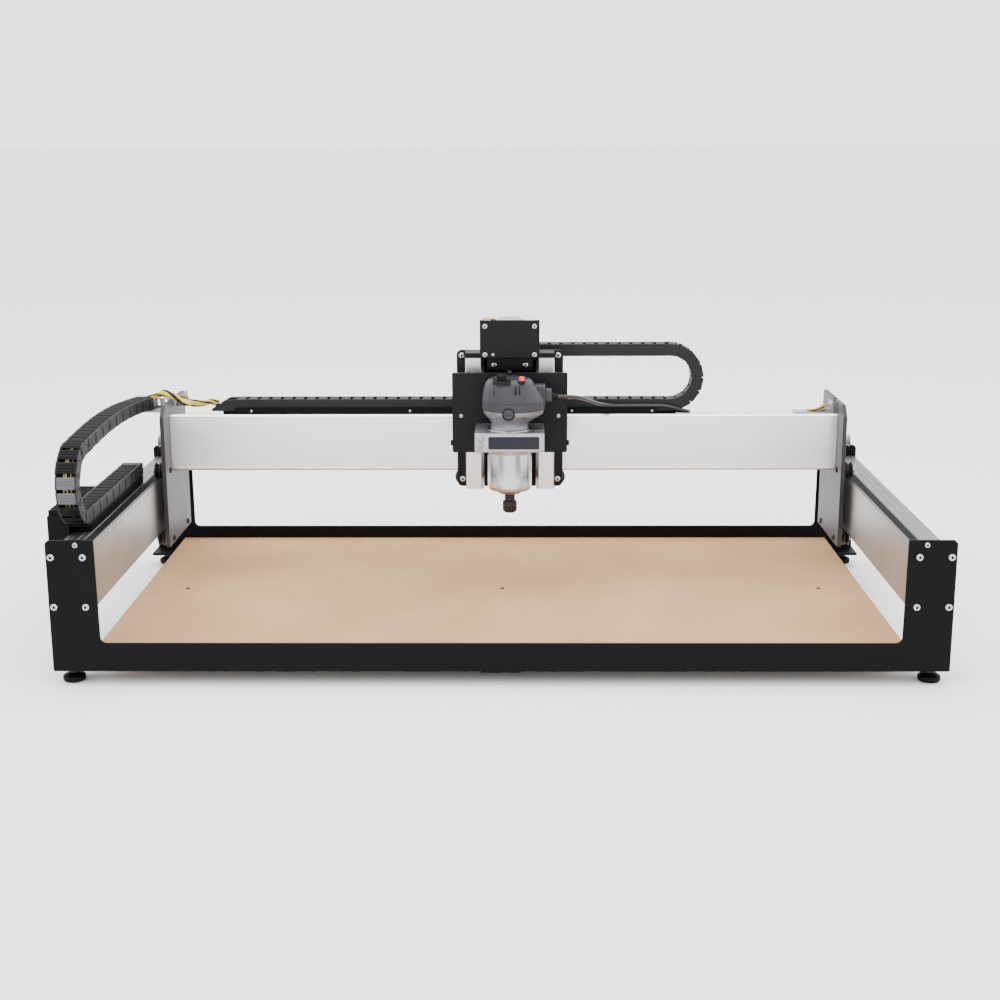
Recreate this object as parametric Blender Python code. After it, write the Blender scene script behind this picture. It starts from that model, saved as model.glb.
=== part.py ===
"""Belt-driven gantry router for wood: a low black steel frame with a wooden bed, two aluminium side
rails, a gantry that rolls along them, a carriage that rolls along the gantry, and a router that a
leadscrew raises and lowers.

Lengths are in millimetres in the machine's own axes: X across (0 at the middle of the frame), Y from
the front plate's front face to the back, Z up from the floor. world() turns them into metres.
"""
import math

import bmesh
import bpy
from mathutils import Matrix, Vector

MM = 0.001
GAP = 0.3                      # clearance left between faces that touch

# ---- frame ------------------------------------------------------------------------------------
WIDTH = 1140.0                 # over the two end plates
DEPTH = 600.0                  # front face of the front plate to the back face of the rear plate
PLATE_T = 4.0                  # sheet thickness of the end plates
PLATE_Z = (19.0, 191.5)        # bottom and top of the end plates
UPRIGHT_W = 62.0               # width of an end plate's uprights
SILL_Z = 56.5                  # lower edge of the end plates' wide cut-out
SILL_R = 8.0                   # its corner radius
FLANGE_W = 50.0                # bottom flange of an end plate, folded inwards
BED_HALF = 525.0               # half width of the wooden bed
BED_TOP = 37.0
FOOT_X, FOOT_Y, FOOT_R = 550.0, 22.0, 14.5
FOOT_PAD, FOOT_STEM_R = 10.5, 5.0       # height of the rubber pad, radius of its stem
CHAMFER = 4.0                  # outer corners of the end plates
BELT_IN = (7.0, 19.0)          # edges of a belt, in from the rail's lipped face
BELT_T = 1.6
HOLE_X, HOLE_Y, HOLE_R, HOLE_DEPTH = 461.0, 308.0, 4.0, 5.0
BRACE_HALF, RIB_HALF = 25.0, 22.0
ENCLOSURE_X = (-603.5, -569.6)
ENCLOSURE_Y = (123.0, 277.0)
ENCLOSURE_Z = (112.0, 200.0)
VENT_X, VENT_Y, VENT_W, VENT_PITCH, VENT_DEPTH, VENTS = (-597.0, -576.0), 150.0, 5.0, 12.0, 4.0, 9

# ---- rail extrusion: 50 deep, 73 high, with a V lip 6.5 high at the top and bottom of one face --
RAIL_D = 50.0
RAIL_H = 73.0
LIP_T = 5.0
LIP_H = 6.5
RAIL_WALL = 4.0
SCREW_IN = 5.0                 # end screws, in from the rail's faces
Y_RAIL_IN = 518.0              # |X| of the side rails' lipped faces
Y_RAIL_Z = 137.3               # centre height of the side rails
X_RAIL_Y = 430.0               # Y of the gantry rail's lipped front face
X_RAIL_Z = 229.5
X_RAIL_HALF = 502.6            # half length of the gantry rail

# ---- wheels -----------------------------------------------------------------------------------
WHEEL_R = 12.0
GROOVE_R = 9.0
WHEEL_W = 9.6
BORE_R = 3.0
AXLE_R = 2.5
LIP_TO_AXLE = 9.5              # lip's tip to the wheel's axle
WHEEL_OFF = LIP_T / 2          # the groove runs over the middle of the lip

# ---- gantry side plates ------------------------------------------------------------------------
SIDE_IN, SIDE_OUT = 503.0, 509.0
SIDE_Y = (390.0, 546.0)
SIDE_Z = (76.0, 291.0)
Y_WHEELS = (418.0, 520.0)      # Y of the wheels on each side plate
MOTOR = 57.0                   # face of the belt motors
MOTOR_L = 54.0
Y_MOTOR_Y, Y_MOTOR_Z = 511.5, 216.0
MOTOR_SCREW = 23.57            # a motor's screws, each way from its axis
MOTOR_BEVEL = 2.5
PULLEY_R, PULLEY_HALF, FLANGE_T, FLANGE_LIP = 8.0, 7.5, 1.2, 1.5
SHAFT_R, SHAFT_HOLE_R = 3.1, 5.0
SIDE_CHAMFER = 14.0            # upper front corner of a side plate

# ---- carriage ----------------------------------------------------------------------------------
CAR_X = 11.0                   # middle of the carriage
CAR_HALF = 79.0
CAR_Y = (415.0, 421.0)
CAR_Z = (165.5, 372.0)
X_WHEELS = 71.3                # wheels, each side of the carriage's middle
X_MOTOR_Z = 325.0
COLUMN_X, COLUMN_W = 51.8, 27.0
COLUMN_Y = (385.0, 414.7)
COLUMN_Z = (168.0, 371.5)
COVER_X, COVER_Y, COVER_Z = 43.0, (350.0, 414.7), (372.3, 424.0)
COVER_WALL = 4.0
COVER_WELL = 30.0              # half width of the space inside the cover
SCREW_Y = 384.0                # leadscrew and its motor
SCREW_R, SCREW_FOOT, SCREW_TURN_TOP = 4.0, 183.0, 371.0
Z_MOTOR, Z_MOTOR_TOP = 25.0, 418.0
Z_CAP, Z_CAP_Y, Z_CAP_Z = 16.7, (372.0, 408.0), (410.0, 422.6)
BEARING_HALF, BEARING_Y, BEARING_Z = 24.0, 372.0, (180.0, 194.0)
X_MOTOR_FACE = 452.0
X_PULLEY_Y = 443.0

# ---- Z slide and router ------------------------------------------------------------------------
ZP_HALF = 83.5
ZP_Y = (350.0, 356.0)
ZP_Z = (231.0, 348.0)
SLIDER_HALF, SLIDER_Z = 12.0, (240.0, 340.0)
NUT_HALF, NUT_BACK, NUT_Z = 15.0, 400.0, (280.0, 304.0)
BORE_OVER_SCREW = 4.5          # radius of the bores that the leadscrew passes through
ROUTER_Y = 308.0               # router's axis, in line with CAR_X
BODY_R = 31.5
BODY_Z = (186.0, 297.7)
CLAMP_HALF = 49.0
CLAMP_FRONT = 37.0             # clamp's front face, ahead of the router's axis
CLAMP_Z = (247.0, 274.5)
SPLIT_HALF = 1.5               # half the gap in the clamp's left side
HEAD_Z = (298.0, 353.5)
HEAD_R = 36.5
BOSS_R, BOSS_Z = 10.5, 318.0   # boss that the lead comes out of, on the head's right
BOSS_BACK, BOSS_START = 14.0, 12.0
SPINDLE_BORE, NOSE_R = 9.0, 10.5
DIAL_X, DIAL_Z, DIAL_R, DIAL_HALF = 0.0, 352.0, 6.6, 7.0
TOP_Y = 283.0                  # row of the switch and the speed dial
SWITCH_X = (24.0, 32.0)

# ---- cable chains ------------------------------------------------------------------------------
CHAIN_T = 18.0                 # radial thickness
XC_Y = (444.0, 472.0)
XC_Z0, XC_R = 275.5, 50.5      # lower face of the lower run, outer radius of the bend
XC_BEND, XC_FIXED, XC_MOVING = 251.0, -441.0, 35.0
YC_X = (-569.0, -540.5)
YC_Z0, YC_R = 187.5, 54.0
YC_BEND, YC_FIXED, YC_MOVING = 109.0, 385.0, 455.0
BEND_STEPS = 8                 # facets of each quarter bend
SEAM = 0.3                     # degrees that each quarter bend stops short of its middle
Y_TRAY_Y = (100.0, 400.0)
X_TRAY_X, X_TRAY_Y = (-425.0, 262.0), (449.5, 474.5)
X_LIP_X, X_LIP_Y, X_LIP_TOP, X_LIP_RISE = (-405.0, 232.0), (438.8, 443.6), 281.0, 5.0
SHEET = 3.0                    # thickness of the chain brackets
Y_BRACKET_Y = (428.0, 480.0)
X_BRACKET_X, X_BRACKET_BACK = (20.0, 84.0), 492.0

# the world's origin is the middle of the footprint: the enclosure stands out on the left
ORIGIN = Vector(((ENCLOSURE_X[0] + WIDTH / 2) / 2, DEPTH / 2, 0.0))

# router lead: out of the head's strain relief, along the chain tray, round, and back to the carriage
CORD_R = 2.75
CORD_STEPS = 2                 # points along the lead for each point of its route
CORD_ROUTE = [
    (78.5, 322, 318), (85, 323, 317.8), (94, 329, 316.8), (105, 342, 314), (117, 362, 308.5),
    (130, 388, 300), (142, 411, 292), (155, 428, 286.8), (170, 437, 284.4), (190, 439.3, 284.2),
    (212, 439.5, 284.2), (234, 439.5, 284.2), (247, 439.6, 283.4), (258, 440, 281), (267, 441, 278),
    (275, 444.8, 275.6), (280.8, 451.5, 273.4), (283, 459.5, 271.4), (281, 467.5, 270),
    (275.5, 473.8, 269.3), (268, 477.4, 269.2), (256, 478.6, 269.2), (230, 478.6, 269.2),
    (202, 478.6, 269.2), (174, 478.6, 269.2), (150, 478.6, 269.4), (128, 479, 271), (109, 480.5, 276),
    (94, 482.5, 286), (84, 484, 300), (78.5, 484.5, 316), (76.5, 484.5, 332), (76, 484.5, 350),
]


# ---- helpers -----------------------------------------------------------------------------------
def world(point):
    return (Vector(point) - ORIGIN) * MM


def finish(name, shell, material, origin=ORIGIN, smooth=False):
    """Turns a bmesh in machine millimetres into a named object in world metres, placed by origin."""
    bmesh.ops.recalc_face_normals(shell, faces=shell.faces)
    for vert in shell.verts:
        vert.co = (vert.co - origin) * MM
    mesh = bpy.data.meshes.new(name)
    shell.to_mesh(mesh)
    shell.free()
    if smooth:
        mesh.shade_smooth()
        mesh.set_sharp_from_angle(angle=math.radians(35))
    thing = bpy.data.objects.new(name, mesh)
    thing.location = world(origin)
    bpy.context.scene.collection.objects.link(thing)
    if material:
        mesh.materials.append(material)
    return thing


def block(name, xs, ys, zs, material=None, bevel=0.0):
    """Box between pairs of X, Y and Z, with its edges chamfered by bevel."""
    shell = bmesh.new()
    bmesh.ops.create_cube(shell, size=1.0)
    low = Vector((min(xs), min(ys), min(zs)))
    high = Vector((max(xs), max(ys), max(zs)))
    for vert in shell.verts:
        vert.co = Vector(low[i] + (vert.co[i] + 0.5) * (high[i] - low[i]) for i in range(3))
    if bevel:
        bmesh.ops.bevel(shell, geom=shell.edges[:], offset=bevel, segments=1, affect='EDGES')
    return finish(name, shell, material)


PLANES = {'X': lambda u, v, w: (w, u, v), 'Y': lambda u, v, w: (u, w, v), 'Z': lambda u, v, w: (u, v, w)}


def prism(name, outline, along, span, material=None):
    """Outline in the two axes other than along, extruded along that axis over span."""
    shell = bmesh.new()
    place = PLANES[along]
    ends = [[shell.verts.new(place(u, v, w)) for u, v in outline] for w in span]
    shell.faces.new(ends[0])
    shell.faces.new(ends[1])
    count = len(outline)
    for i in range(count):
        j = (i + 1) % count
        shell.faces.new((ends[0][i], ends[0][j], ends[1][j], ends[1][i]))
    return finish(name, shell, material)


def turned(name, profile, along, centre, material=None, segments=24):
    """Profile of (radius, distance along the axis) turned about an axis through centre, its origin."""
    shell = bmesh.new()
    place = PLANES[along]
    middle = Vector(centre)
    rings = []
    for radius, travel in profile:
        count = segments if radius > 0 else 1
        ring = []
        for k in range(count):
            turn = 2 * math.pi * (k + 0.5) / segments
            offset = Vector(place(radius * math.cos(turn), radius * math.sin(turn), travel))
            ring.append(shell.verts.new(middle + offset))
        rings.append(ring)
    pairs = list(zip(rings, rings[1:]))
    if profile[0][0] > 0:
        pairs.append((rings[-1], rings[0]))
    for near, far in pairs:
        for k in range(segments):
            m = (k + 1) % segments
            corners = [near[k % len(near)], near[m % len(near)], far[m % len(far)], far[k % len(far)]]
            unique = list(dict.fromkeys(corners))
            if len(unique) > 2:
                shell.faces.new(unique)
    return finish(name, shell, material, middle, smooth=True)


def rod(name, radius, along, span, centre, material=None, segments=16):
    """Plain round bar; span is its extent along the axis."""
    axis = 'XYZ'.index(along)
    middle = list(centre)
    middle[axis] = 0.0
    profile = [(0, span[0]), (radius, span[0]), (radius, span[1]), (0, span[1])]
    return turned(name, profile, along, middle, material, segments)


def combine(base, tools, operation):
    for tool in tools:
        step = base.modifiers.new(tool.name, 'BOOLEAN')
        step.operation = operation
        step.solver = 'EXACT'
        step.object = tool
        tool.hide_render = True
        tool.display_type = 'WIRE'
    return base


def add(base, *tools):
    return combine(base, tools, 'UNION')


def cut(base, *tools):
    return combine(base, tools, 'DIFFERENCE')


def paint(name, colour, roughness, metallic=0.0):
    material = bpy.data.materials.new(name)
    material.use_nodes = True
    shader = material.node_tree.nodes['Principled BSDF']
    shader.inputs['Base Color'].default_value = (*colour, 1.0)
    shader.inputs['Roughness'].default_value = roughness
    shader.inputs['Metallic'].default_value = metallic
    return material


def button_head(name, along, face, centre, towards, radius=5.0, height=2.2):
    """Domed screw head standing out of a face; its foot is sunk into the face for the union."""
    profile = [(0, -1.0), (radius, -1.0), (radius, height * 0.4), (radius * 0.6, height), (0, height)]
    middle = list(centre)
    middle['XYZ'.index(along)] = face
    placed = [(r, t * towards) for r, t in profile]
    return turned(name, placed, along, middle, None, 8)


# ---- frame -------------------------------------------------------------------------------------
def end_plate(name, y_outer, inward, material):
    """U-shaped sheet with a folded bottom flange; inward is +1 at the front and -1 at the rear."""
    half, low, high = WIDTH / 2, *PLATE_Z
    inner = half - UPRIGHT_W
    outline = [(-half, low), (half, low), (half, high - CHAMFER), (half - CHAMFER, high), (inner, high)]
    for side in (1, -1):
        arc = []
        for k in range(5):
            turn = math.radians(22.5 * k)
            x = side * (inner - SILL_R + SILL_R * math.cos(turn))
            arc.append((x, SILL_Z + SILL_R - SILL_R * math.sin(turn)))
        outline += arc if side == 1 else arc[::-1]
    outline += [(-inner, high), (-half + CHAMFER, high), (-half, high - CHAMFER)]
    plate = prism(name, outline, 'Y', (y_outer, y_outer + inward * PLATE_T), material)
    flange = block(name + '.flange', (-half, half), (y_outer + inward * 1.0, y_outer + inward * FLANGE_W),
                   (low, low + PLATE_T))
    parts = [flange]
    for side in (-1, 1):
        for inset in (SCREW_IN, RAIL_D - SCREW_IN):
            for rise in (-1, 1):
                where = (side * (Y_RAIL_IN + inset), 0, Y_RAIL_Z + rise * (RAIL_H / 2 - SCREW_IN + 1))
                parts.append(button_head(f'{name}.screw{len(parts)}', 'Y', y_outer, where, -inward))
    return add(plate, *parts)


def rail_outline(place):
    """Outline of the lipped extrusion; place turns (depth from the lipped face, height) into a point."""
    half = RAIL_H / 2
    tip = half + LIP_H
    shoulder = tip - LIP_T / 2
    points = [(0, -shoulder), (LIP_T / 2, -tip), (LIP_T, -shoulder), (LIP_T, -half), (RAIL_D, -half),
              (RAIL_D, half), (LIP_T, half), (LIP_T, shoulder), (LIP_T / 2, tip), (0, shoulder)]
    return [place(depth, height) for depth, height in points]


def side_rail(name, side, material):
    span = (PLATE_T + GAP, DEPTH - PLATE_T - GAP)
    outline = rail_outline(lambda d, h: (side * (Y_RAIL_IN + d), Y_RAIL_Z + h))
    rail = prism(name, outline, 'Y', span, material)
    inside = (side * (Y_RAIL_IN + RAIL_WALL), side * (Y_RAIL_IN + RAIL_D - RAIL_WALL))
    height = RAIL_H / 2 - RAIL_WALL
    return cut(rail, block(name + '.hollow', inside, (-10, DEPTH + 10),
                           (Y_RAIL_Z - height, Y_RAIL_Z + height)))


def foot(name, side, y, material):
    top = PLATE_Z[0] - GAP
    profile = [(0, 0), (FOOT_R - 1.5, 0), (FOOT_R, 1.5), (FOOT_R, FOOT_PAD - 2.5), (FOOT_R - 3, FOOT_PAD),
               (FOOT_STEM_R, FOOT_PAD), (FOOT_STEM_R, top), (0, top)]
    return turned(name, profile, 'Z', (side * FOOT_X, y, 0), material, 20)


def build_frame(looks):
    end_plate('front_end_plate', 0.0, 1, looks['steel'])
    end_plate('rear_end_plate', DEPTH, -1, looks['steel'])
    for word, side in (('left', -1), ('right', 1)):
        side_rail(word + '_y_rail', side, looks['rail'])
        belt = [side * (Y_RAIL_IN + inset) for inset in BELT_IN]
        top = Y_RAIL_Z + RAIL_H / 2
        block(word + '_y_belt', belt, (PLATE_T + 1, DEPTH - PLATE_T - 1),
              (top + GAP, top + GAP + BELT_T), looks['belt'])
        for end, y in (('front', FOOT_Y), ('rear', DEPTH - FOOT_Y)):
            foot(f'{end}_{word}_foot', side, y, looks['rubber'])
    bed_low = PLATE_Z[0] + PLATE_T + GAP
    bed = block('wasteboard', (-BED_HALF, BED_HALF), (PLATE_T + GAP, DEPTH - PLATE_T - GAP),
                (bed_low, BED_TOP), looks['board'])
    drilled = (BED_TOP - HOLE_DEPTH, BED_TOP + HOLE_DEPTH)
    holes = [rod(f'wasteboard.hole{i}', HOLE_R, 'Z', drilled, (x, HOLE_Y, 0), None, 12)
             for i, x in enumerate((-HOLE_X, 0.0, HOLE_X))]
    cut(bed, *holes)
    under = PLATE_Z[0] - GAP
    brace = block('bed_brace', (-BRACE_HALF, BRACE_HALF), (2 * PLATE_T, DEPTH - 2 * PLATE_T),
                  (under - PLATE_T, under), looks['steel'])
    add(brace, block('bed_brace.rib', (-RIB_HALF, RIB_HALF), (FLANGE_W + 3, DEPTH - FLANGE_W - 3),
                     (under - 1, bed_low - GAP)))
    controller = block('controller_enclosure', ENCLOSURE_X, ENCLOSURE_Y, ENCLOSURE_Z, looks['steel'], 1.5)
    lid = ENCLOSURE_Z[1]
    vents = []
    for i in range(VENTS):
        front = VENT_Y + i * VENT_PITCH
        vents.append(block(f'controller.vent{i}', VENT_X, (front, front + VENT_W),
                           (lid - VENT_DEPTH, lid + 3)))
    cut(controller, *vents)


# ---- chains ------------------------------------------------------------------------------------
def chain_outline(tangent, base, radius, far, facing, level):
    """Side view of half a cable chain: a straight run from far to the tangent point and a quarter bend.

    base is the height of the bend's centre; facing is +1 or -1 along the first axis, the way the bend
    bulges; level is -1 for the lower half and +1 for the upper one, which meet at the bulge.
    """
    outer = []
    inner = []
    for k in range(BEND_STEPS + 1):
        turn = math.radians(90.0 - (90.0 - SEAM) * k / BEND_STEPS)
        ray = (facing * math.cos(turn), level * math.sin(turn))
        outer.append((tangent + radius * ray[0], base + radius * ray[1]))
        inner.append((tangent + (radius - CHAIN_T) * ray[0], base + (radius - CHAIN_T) * ray[1]))
    start = (far, base + level * radius)
    end = (far, base + level * (radius - CHAIN_T))
    return [start] + outer + inner[::-1] + [end]


def build_chains(looks):
    for word, level, far in (('lower', -1, XC_FIXED), ('upper', 1, XC_MOVING)):
        outline = chain_outline(XC_BEND, XC_Z0 + XC_R, XC_R, far, 1, level)
        prism(f'x_chain_{word}', outline, 'Y', XC_Y, looks['plastic'])
    for word, level, far in (('lower', -1, YC_FIXED), ('upper', 1, YC_MOVING)):
        outline = chain_outline(YC_BEND, YC_Z0 + YC_R, YC_R, far, -1, level)
        prism(f'y_chain_{word}', outline, 'X', YC_X, looks['plastic'])
    deck = Y_RAIL_Z + RAIL_H / 2 + GAP
    block('y_chain_tray', (YC_X[0] + 1, YC_X[1]), Y_TRAY_Y, (deck, YC_Z0 - GAP), looks['steel'])
    deck = X_RAIL_Z + RAIL_H / 2 + GAP
    ledge = deck + X_LIP_RISE
    tray = block('x_chain_tray', X_TRAY_X, X_TRAY_Y, (deck, XC_Z0 - GAP), looks['steel'])
    lip = block('x_chain_tray.lip', X_LIP_X, X_LIP_Y, (ledge, X_LIP_TOP))
    web = block('x_chain_tray.web', X_LIP_X, (X_LIP_Y[0] + 0.2, X_TRAY_Y[0] + 5.5),
                (ledge + 0.2, XC_Z0 - GAP - 0.2))
    add(tray, web, lip)
    under = YC_Z0 + 2 * YC_R - CHAIN_T - GAP
    inner = -SIDE_OUT - GAP
    bracket = block('y_chain_bracket', (YC_X[0], inner), Y_BRACKET_Y, (under - SHEET, under),
                    looks['bracket'])
    add(bracket, block('y_chain_bracket.ear', (inner - SHEET, inner), Y_BRACKET_Y, (250, under - 1)))


# ---- wheels, pulleys and motors ------------------------------------------------------------------
def wheel(name, along, centre, material):
    """Roller with a V groove, turned about an axis along X or Y."""
    half = WHEEL_W / 2
    edge = WHEEL_R - GROOVE_R
    profile = [(BORE_R, -half), (WHEEL_R - 1, -half), (WHEEL_R, -half + 0.8), (WHEEL_R, -edge),
               (GROOVE_R, 0), (WHEEL_R, edge), (WHEEL_R, half - 0.8), (WHEEL_R - 1, half), (BORE_R, half)]
    return turned(name, profile, along, centre, material, 20)


def axle(name, along, centre, face, outward, nut=3.5):
    """Spacer, axle and nut that stand out of a plate's face and carry a wheel centred on centre."""
    middle = centre['XYZ'.index(along)]
    near = middle - outward * (WHEEL_W / 2 + 0.4) - face
    far = middle + outward * (WHEEL_W / 2 + 0.4) - face
    base = list(centre)
    base['XYZ'.index(along)] = face
    profile = [(0, -outward), (4.5, -outward), (4.5, near), (AXLE_R, near), (AXLE_R, far), (4.5, far),
               (4.5, far + outward * nut), (0, far + outward * nut)]
    return turned(name, profile, along, base, None, 12)


def pulley(name, along, centre, reach, material):
    """Flanged belt pulley with its shaft; reach is where the shaft ends along the axis."""
    middle = centre['XYZ'.index(along)]
    sign = 1 if reach > middle else -1
    end = sign * (reach - middle)
    rim = PULLEY_R + FLANGE_LIP
    groove = PULLEY_HALF - FLANGE_T
    profile = [(0, -PULLEY_HALF), (rim, -PULLEY_HALF), (rim, -groove), (PULLEY_R, -groove),
               (PULLEY_R, groove), (rim, groove), (rim, PULLEY_HALF), (SHAFT_R, PULLEY_HALF),
               (SHAFT_R, end), (0, end)]
    return turned(name, [(r, sign * t) for r, t in profile], along, centre, material, 20)


# ---- gantry --------------------------------------------------------------------------------------
def side_plate(word, side, looks):
    """Gantry side plate with its four wheel axles and the hole for the belt pulley's shaft."""
    y0, y1 = SIDE_Y
    z0, z1 = SIDE_Z
    outline = [(y0, z0), (y1, z0), (y1, z1), (y0 + SIDE_CHAMFER, z1), (y0, z1 - SIDE_CHAMFER)]
    name = word + '_side_plate'
    plate = prism(name, outline, 'X', (side * SIDE_IN, side * SIDE_OUT), looks['side'])
    axles = []
    for level, height in wheel_heights(Y_RAIL_Z).items():
        for place, y in zip(('front', 'rear'), Y_WHEELS):
            centre = (side * (Y_RAIL_IN + WHEEL_OFF), y, height)
            axles.append(axle(f'{name}.{place}{level}', 'X', centre, side * SIDE_OUT, side))
            wheel(f'{word}_{place}_{level}_wheel', 'X', centre, looks['wheel'])
    add(plate, *axles)
    cut(plate, rod(name + '.bore', SHAFT_HOLE_R, 'X', (side * (SIDE_IN - 9), side * (SIDE_OUT + 9)),
                   (0, Y_MOTOR_Y, Y_MOTOR_Z)))


def wheel_heights(rail_z):
    reach = RAIL_H / 2 + LIP_H + LIP_TO_AXLE
    return {'upper': rail_z + reach, 'lower': rail_z - reach}


def build_gantry(looks):
    outline = rail_outline(lambda d, h: (X_RAIL_Y + d, X_RAIL_Z + h))
    rail = prism('x_rail', outline, 'X', (-X_RAIL_HALF, X_RAIL_HALF), looks['rail'])
    height = RAIL_H / 2 - RAIL_WALL
    inside = (X_RAIL_Y + RAIL_WALL, X_RAIL_Y + RAIL_D - RAIL_WALL)
    cut(rail, block('x_rail.hollow', (-X_RAIL_HALF - 20, X_RAIL_HALF + 20), inside,
                    (X_RAIL_Z - height, X_RAIL_Z + height)))
    top = X_RAIL_Z + RAIL_H / 2
    block('x_belt', (6 - SIDE_IN, SIDE_IN - 6), [X_RAIL_Y + inset for inset in BELT_IN],
          (top + GAP, top + GAP + BELT_T), looks['belt'])
    for word, side in (('left', -1), ('right', 1)):
        side_plate(word, side, looks)
        half = MOTOR / 2
        block(word + '_y_motor', (side * (SIDE_IN - GAP - MOTOR_L), side * (SIDE_IN - GAP)),
              (Y_MOTOR_Y - half, Y_MOTOR_Y + half), (Y_MOTOR_Z - half, Y_MOTOR_Z + half), looks['motor'],
              MOTOR_BEVEL)
        pulley(word + '_y_pulley', 'X', (side * (Y_RAIL_IN + 14.5), Y_MOTOR_Y, Y_MOTOR_Z), side * SIDE_IN,
               looks['bright'])


# ---- carriage ------------------------------------------------------------------------------------
def build_carriage(looks):
    back = CAR_Y[1]
    plate = block('carriage_plate', (CAR_X - CAR_HALF, CAR_X + CAR_HALF), CAR_Y, CAR_Z, looks['anodised'])
    axles = []
    wheel_y = X_RAIL_Y + WHEEL_OFF
    for level, height in wheel_heights(X_RAIL_Z).items():
        for word, side in (('left', -1), ('right', 1)):
            centre = (CAR_X + side * X_WHEELS, wheel_y, height)
            axles.append(axle(f'carriage.{word}{level}', 'Y', centre, back, 1, 0.6))
            wheel(f'carriage_{word}_{level}_wheel', 'Y', centre, looks['wheel'])
    for word, side in (('left', -1), ('right', 1)):
        for z in (CAR_Z[0] + 11, CAR_Z[1] - 8):
            where = (CAR_X + side * X_WHEELS, 0, z)
            axles.append(button_head(f'carriage.head{word}{z}', 'Y', CAR_Y[0], where, -1))
        middle = CAR_X + side * COLUMN_X
        block(word + '_z_column', (middle - COLUMN_W / 2, middle + COLUMN_W / 2), COLUMN_Y, COLUMN_Z,
              looks['rail'], 1.5)
    bearing = block('carriage_plate.bearing', (CAR_X - BEARING_HALF, CAR_X + BEARING_HALF),
                    (BEARING_Y, CAR_Y[0] + 1), BEARING_Z)
    add(plate, bearing, *axles)
    cut(plate, rod('carriage_plate.bearing_bore', BORE_OVER_SCREW, 'Z', (BEARING_Z[0] - 9, BEARING_Z[1] + 9),
                   (CAR_X, SCREW_Y, 0)))
    build_x_drive(looks, back)
    build_z_drive(looks)


def build_x_drive(looks, back):
    half = MOTOR / 2
    body = block('x_motor', (CAR_X - half, CAR_X + half), (X_MOTOR_FACE, X_MOTOR_FACE + MOTOR_L),
                 (X_MOTOR_Z - half, X_MOTOR_Z + half), looks['motor'], MOTOR_BEVEL)
    stands = []
    for side in (-1, 1):
        for rise in (-1, 1):
            where = (CAR_X + side * MOTOR_SCREW, 0, X_MOTOR_Z + rise * MOTOR_SCREW)
            stands.append(rod(f'x_motor.stand{side}{rise}', 3.5, 'Y', (back + GAP, X_MOTOR_FACE + 1), where,
                              None, 8))
    add(body, *stands)
    pulley('x_pulley', 'Y', (CAR_X, X_PULLEY_Y, X_MOTOR_Z), X_MOTOR_FACE - GAP, looks['bright'])
    shelf_z = XC_Z0 + 2 * XC_R - CHAIN_T - GAP
    right = X_BRACKET_X[1]
    shelf = block('x_chain_bracket', X_BRACKET_X, (back + GAP, X_BRACKET_BACK), (shelf_z - 2.5, shelf_z),
                  looks['steel'])
    add(shelf, block('x_chain_bracket.ear', (right - 40, right), (back + GAP, back + GAP + SHEET),
                     (328, shelf_z - 1)))


def build_z_drive(looks):
    low, high = COVER_Z
    floor = low + COVER_WALL
    sides = (CAR_X - COVER_X, CAR_X + COVER_X)
    cover = block('z_motor_cover', sides, COVER_Y, COVER_Z, looks['steel'])
    skirt = block('z_motor_cover.skirt', sides, (COVER_Y[0], COLUMN_Y[0] - 2 * GAP), (low - 3.6, low + 5))
    well = block('z_motor_cover.well', (CAR_X - COVER_WELL, CAR_X + COVER_WELL),
                 (COVER_Y[0] + COVER_WALL, COVER_Y[1] - COVER_WALL), (floor, high + 5))
    bore = rod('z_motor_cover.bore', 6, 'Z', (low - 8, low + 8), (CAR_X, SCREW_Y, 0))
    add(cover, skirt)
    cut(cover, well, bore)
    body = block('z_motor', (CAR_X - Z_MOTOR, CAR_X + Z_MOTOR), (SCREW_Y - Z_MOTOR, SCREW_Y + Z_MOTOR),
                 (floor + GAP, Z_MOTOR_TOP), looks['motor'], MOTOR_BEVEL)
    add(body, block('z_motor.cap', (CAR_X - Z_CAP, CAR_X + Z_CAP), Z_CAP_Y, Z_CAP_Z))
    thread = [(0, SCREW_FOOT), (SCREW_R, SCREW_FOOT), (SCREW_R, SCREW_TURN_TOP),
              (SCREW_R + 0.5, SCREW_TURN_TOP + 0.2), (SCREW_R + 0.5, floor), (0, floor)]
    turned('leadscrew', thread, 'Z', (CAR_X, SCREW_Y, 0), looks['bright'], 16)


# ---- Z slide and router ----------------------------------------------------------------------------
def build_z_slide(looks):
    plate = block('z_plate', (CAR_X - ZP_HALF, CAR_X + ZP_HALF), ZP_Y, ZP_Z, looks['anodised'])
    parts = []
    for side in (-1, 1):
        where = (CAR_X + side * 70.5, 0, ZP_Z[0] + 54)
        parts.append(button_head(f'z_plate.head{side}', 'Y', ZP_Y[0], where, -1, 3.2, 1.6))
        middle = CAR_X + side * COLUMN_X
        parts.append(block(f'z_plate.slider{side}', (middle - SLIDER_HALF, middle + SLIDER_HALF),
                           (ZP_Y[1] - 1, COLUMN_Y[0] - GAP), SLIDER_Z))
    add(plate, *parts)
    nut = block('leadscrew_nut', (CAR_X - NUT_HALF, CAR_X + NUT_HALF), (ZP_Y[1] + GAP, NUT_BACK), NUT_Z,
                looks['brass'], 1.0)
    cut(nut, rod('leadscrew_nut.bore', BORE_OVER_SCREW, 'Z', (NUT_Z[0] - 9, NUT_Z[1] + 9),
                 (CAR_X, SCREW_Y, 0)))
    build_clamp(looks)
    build_router(looks)


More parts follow.
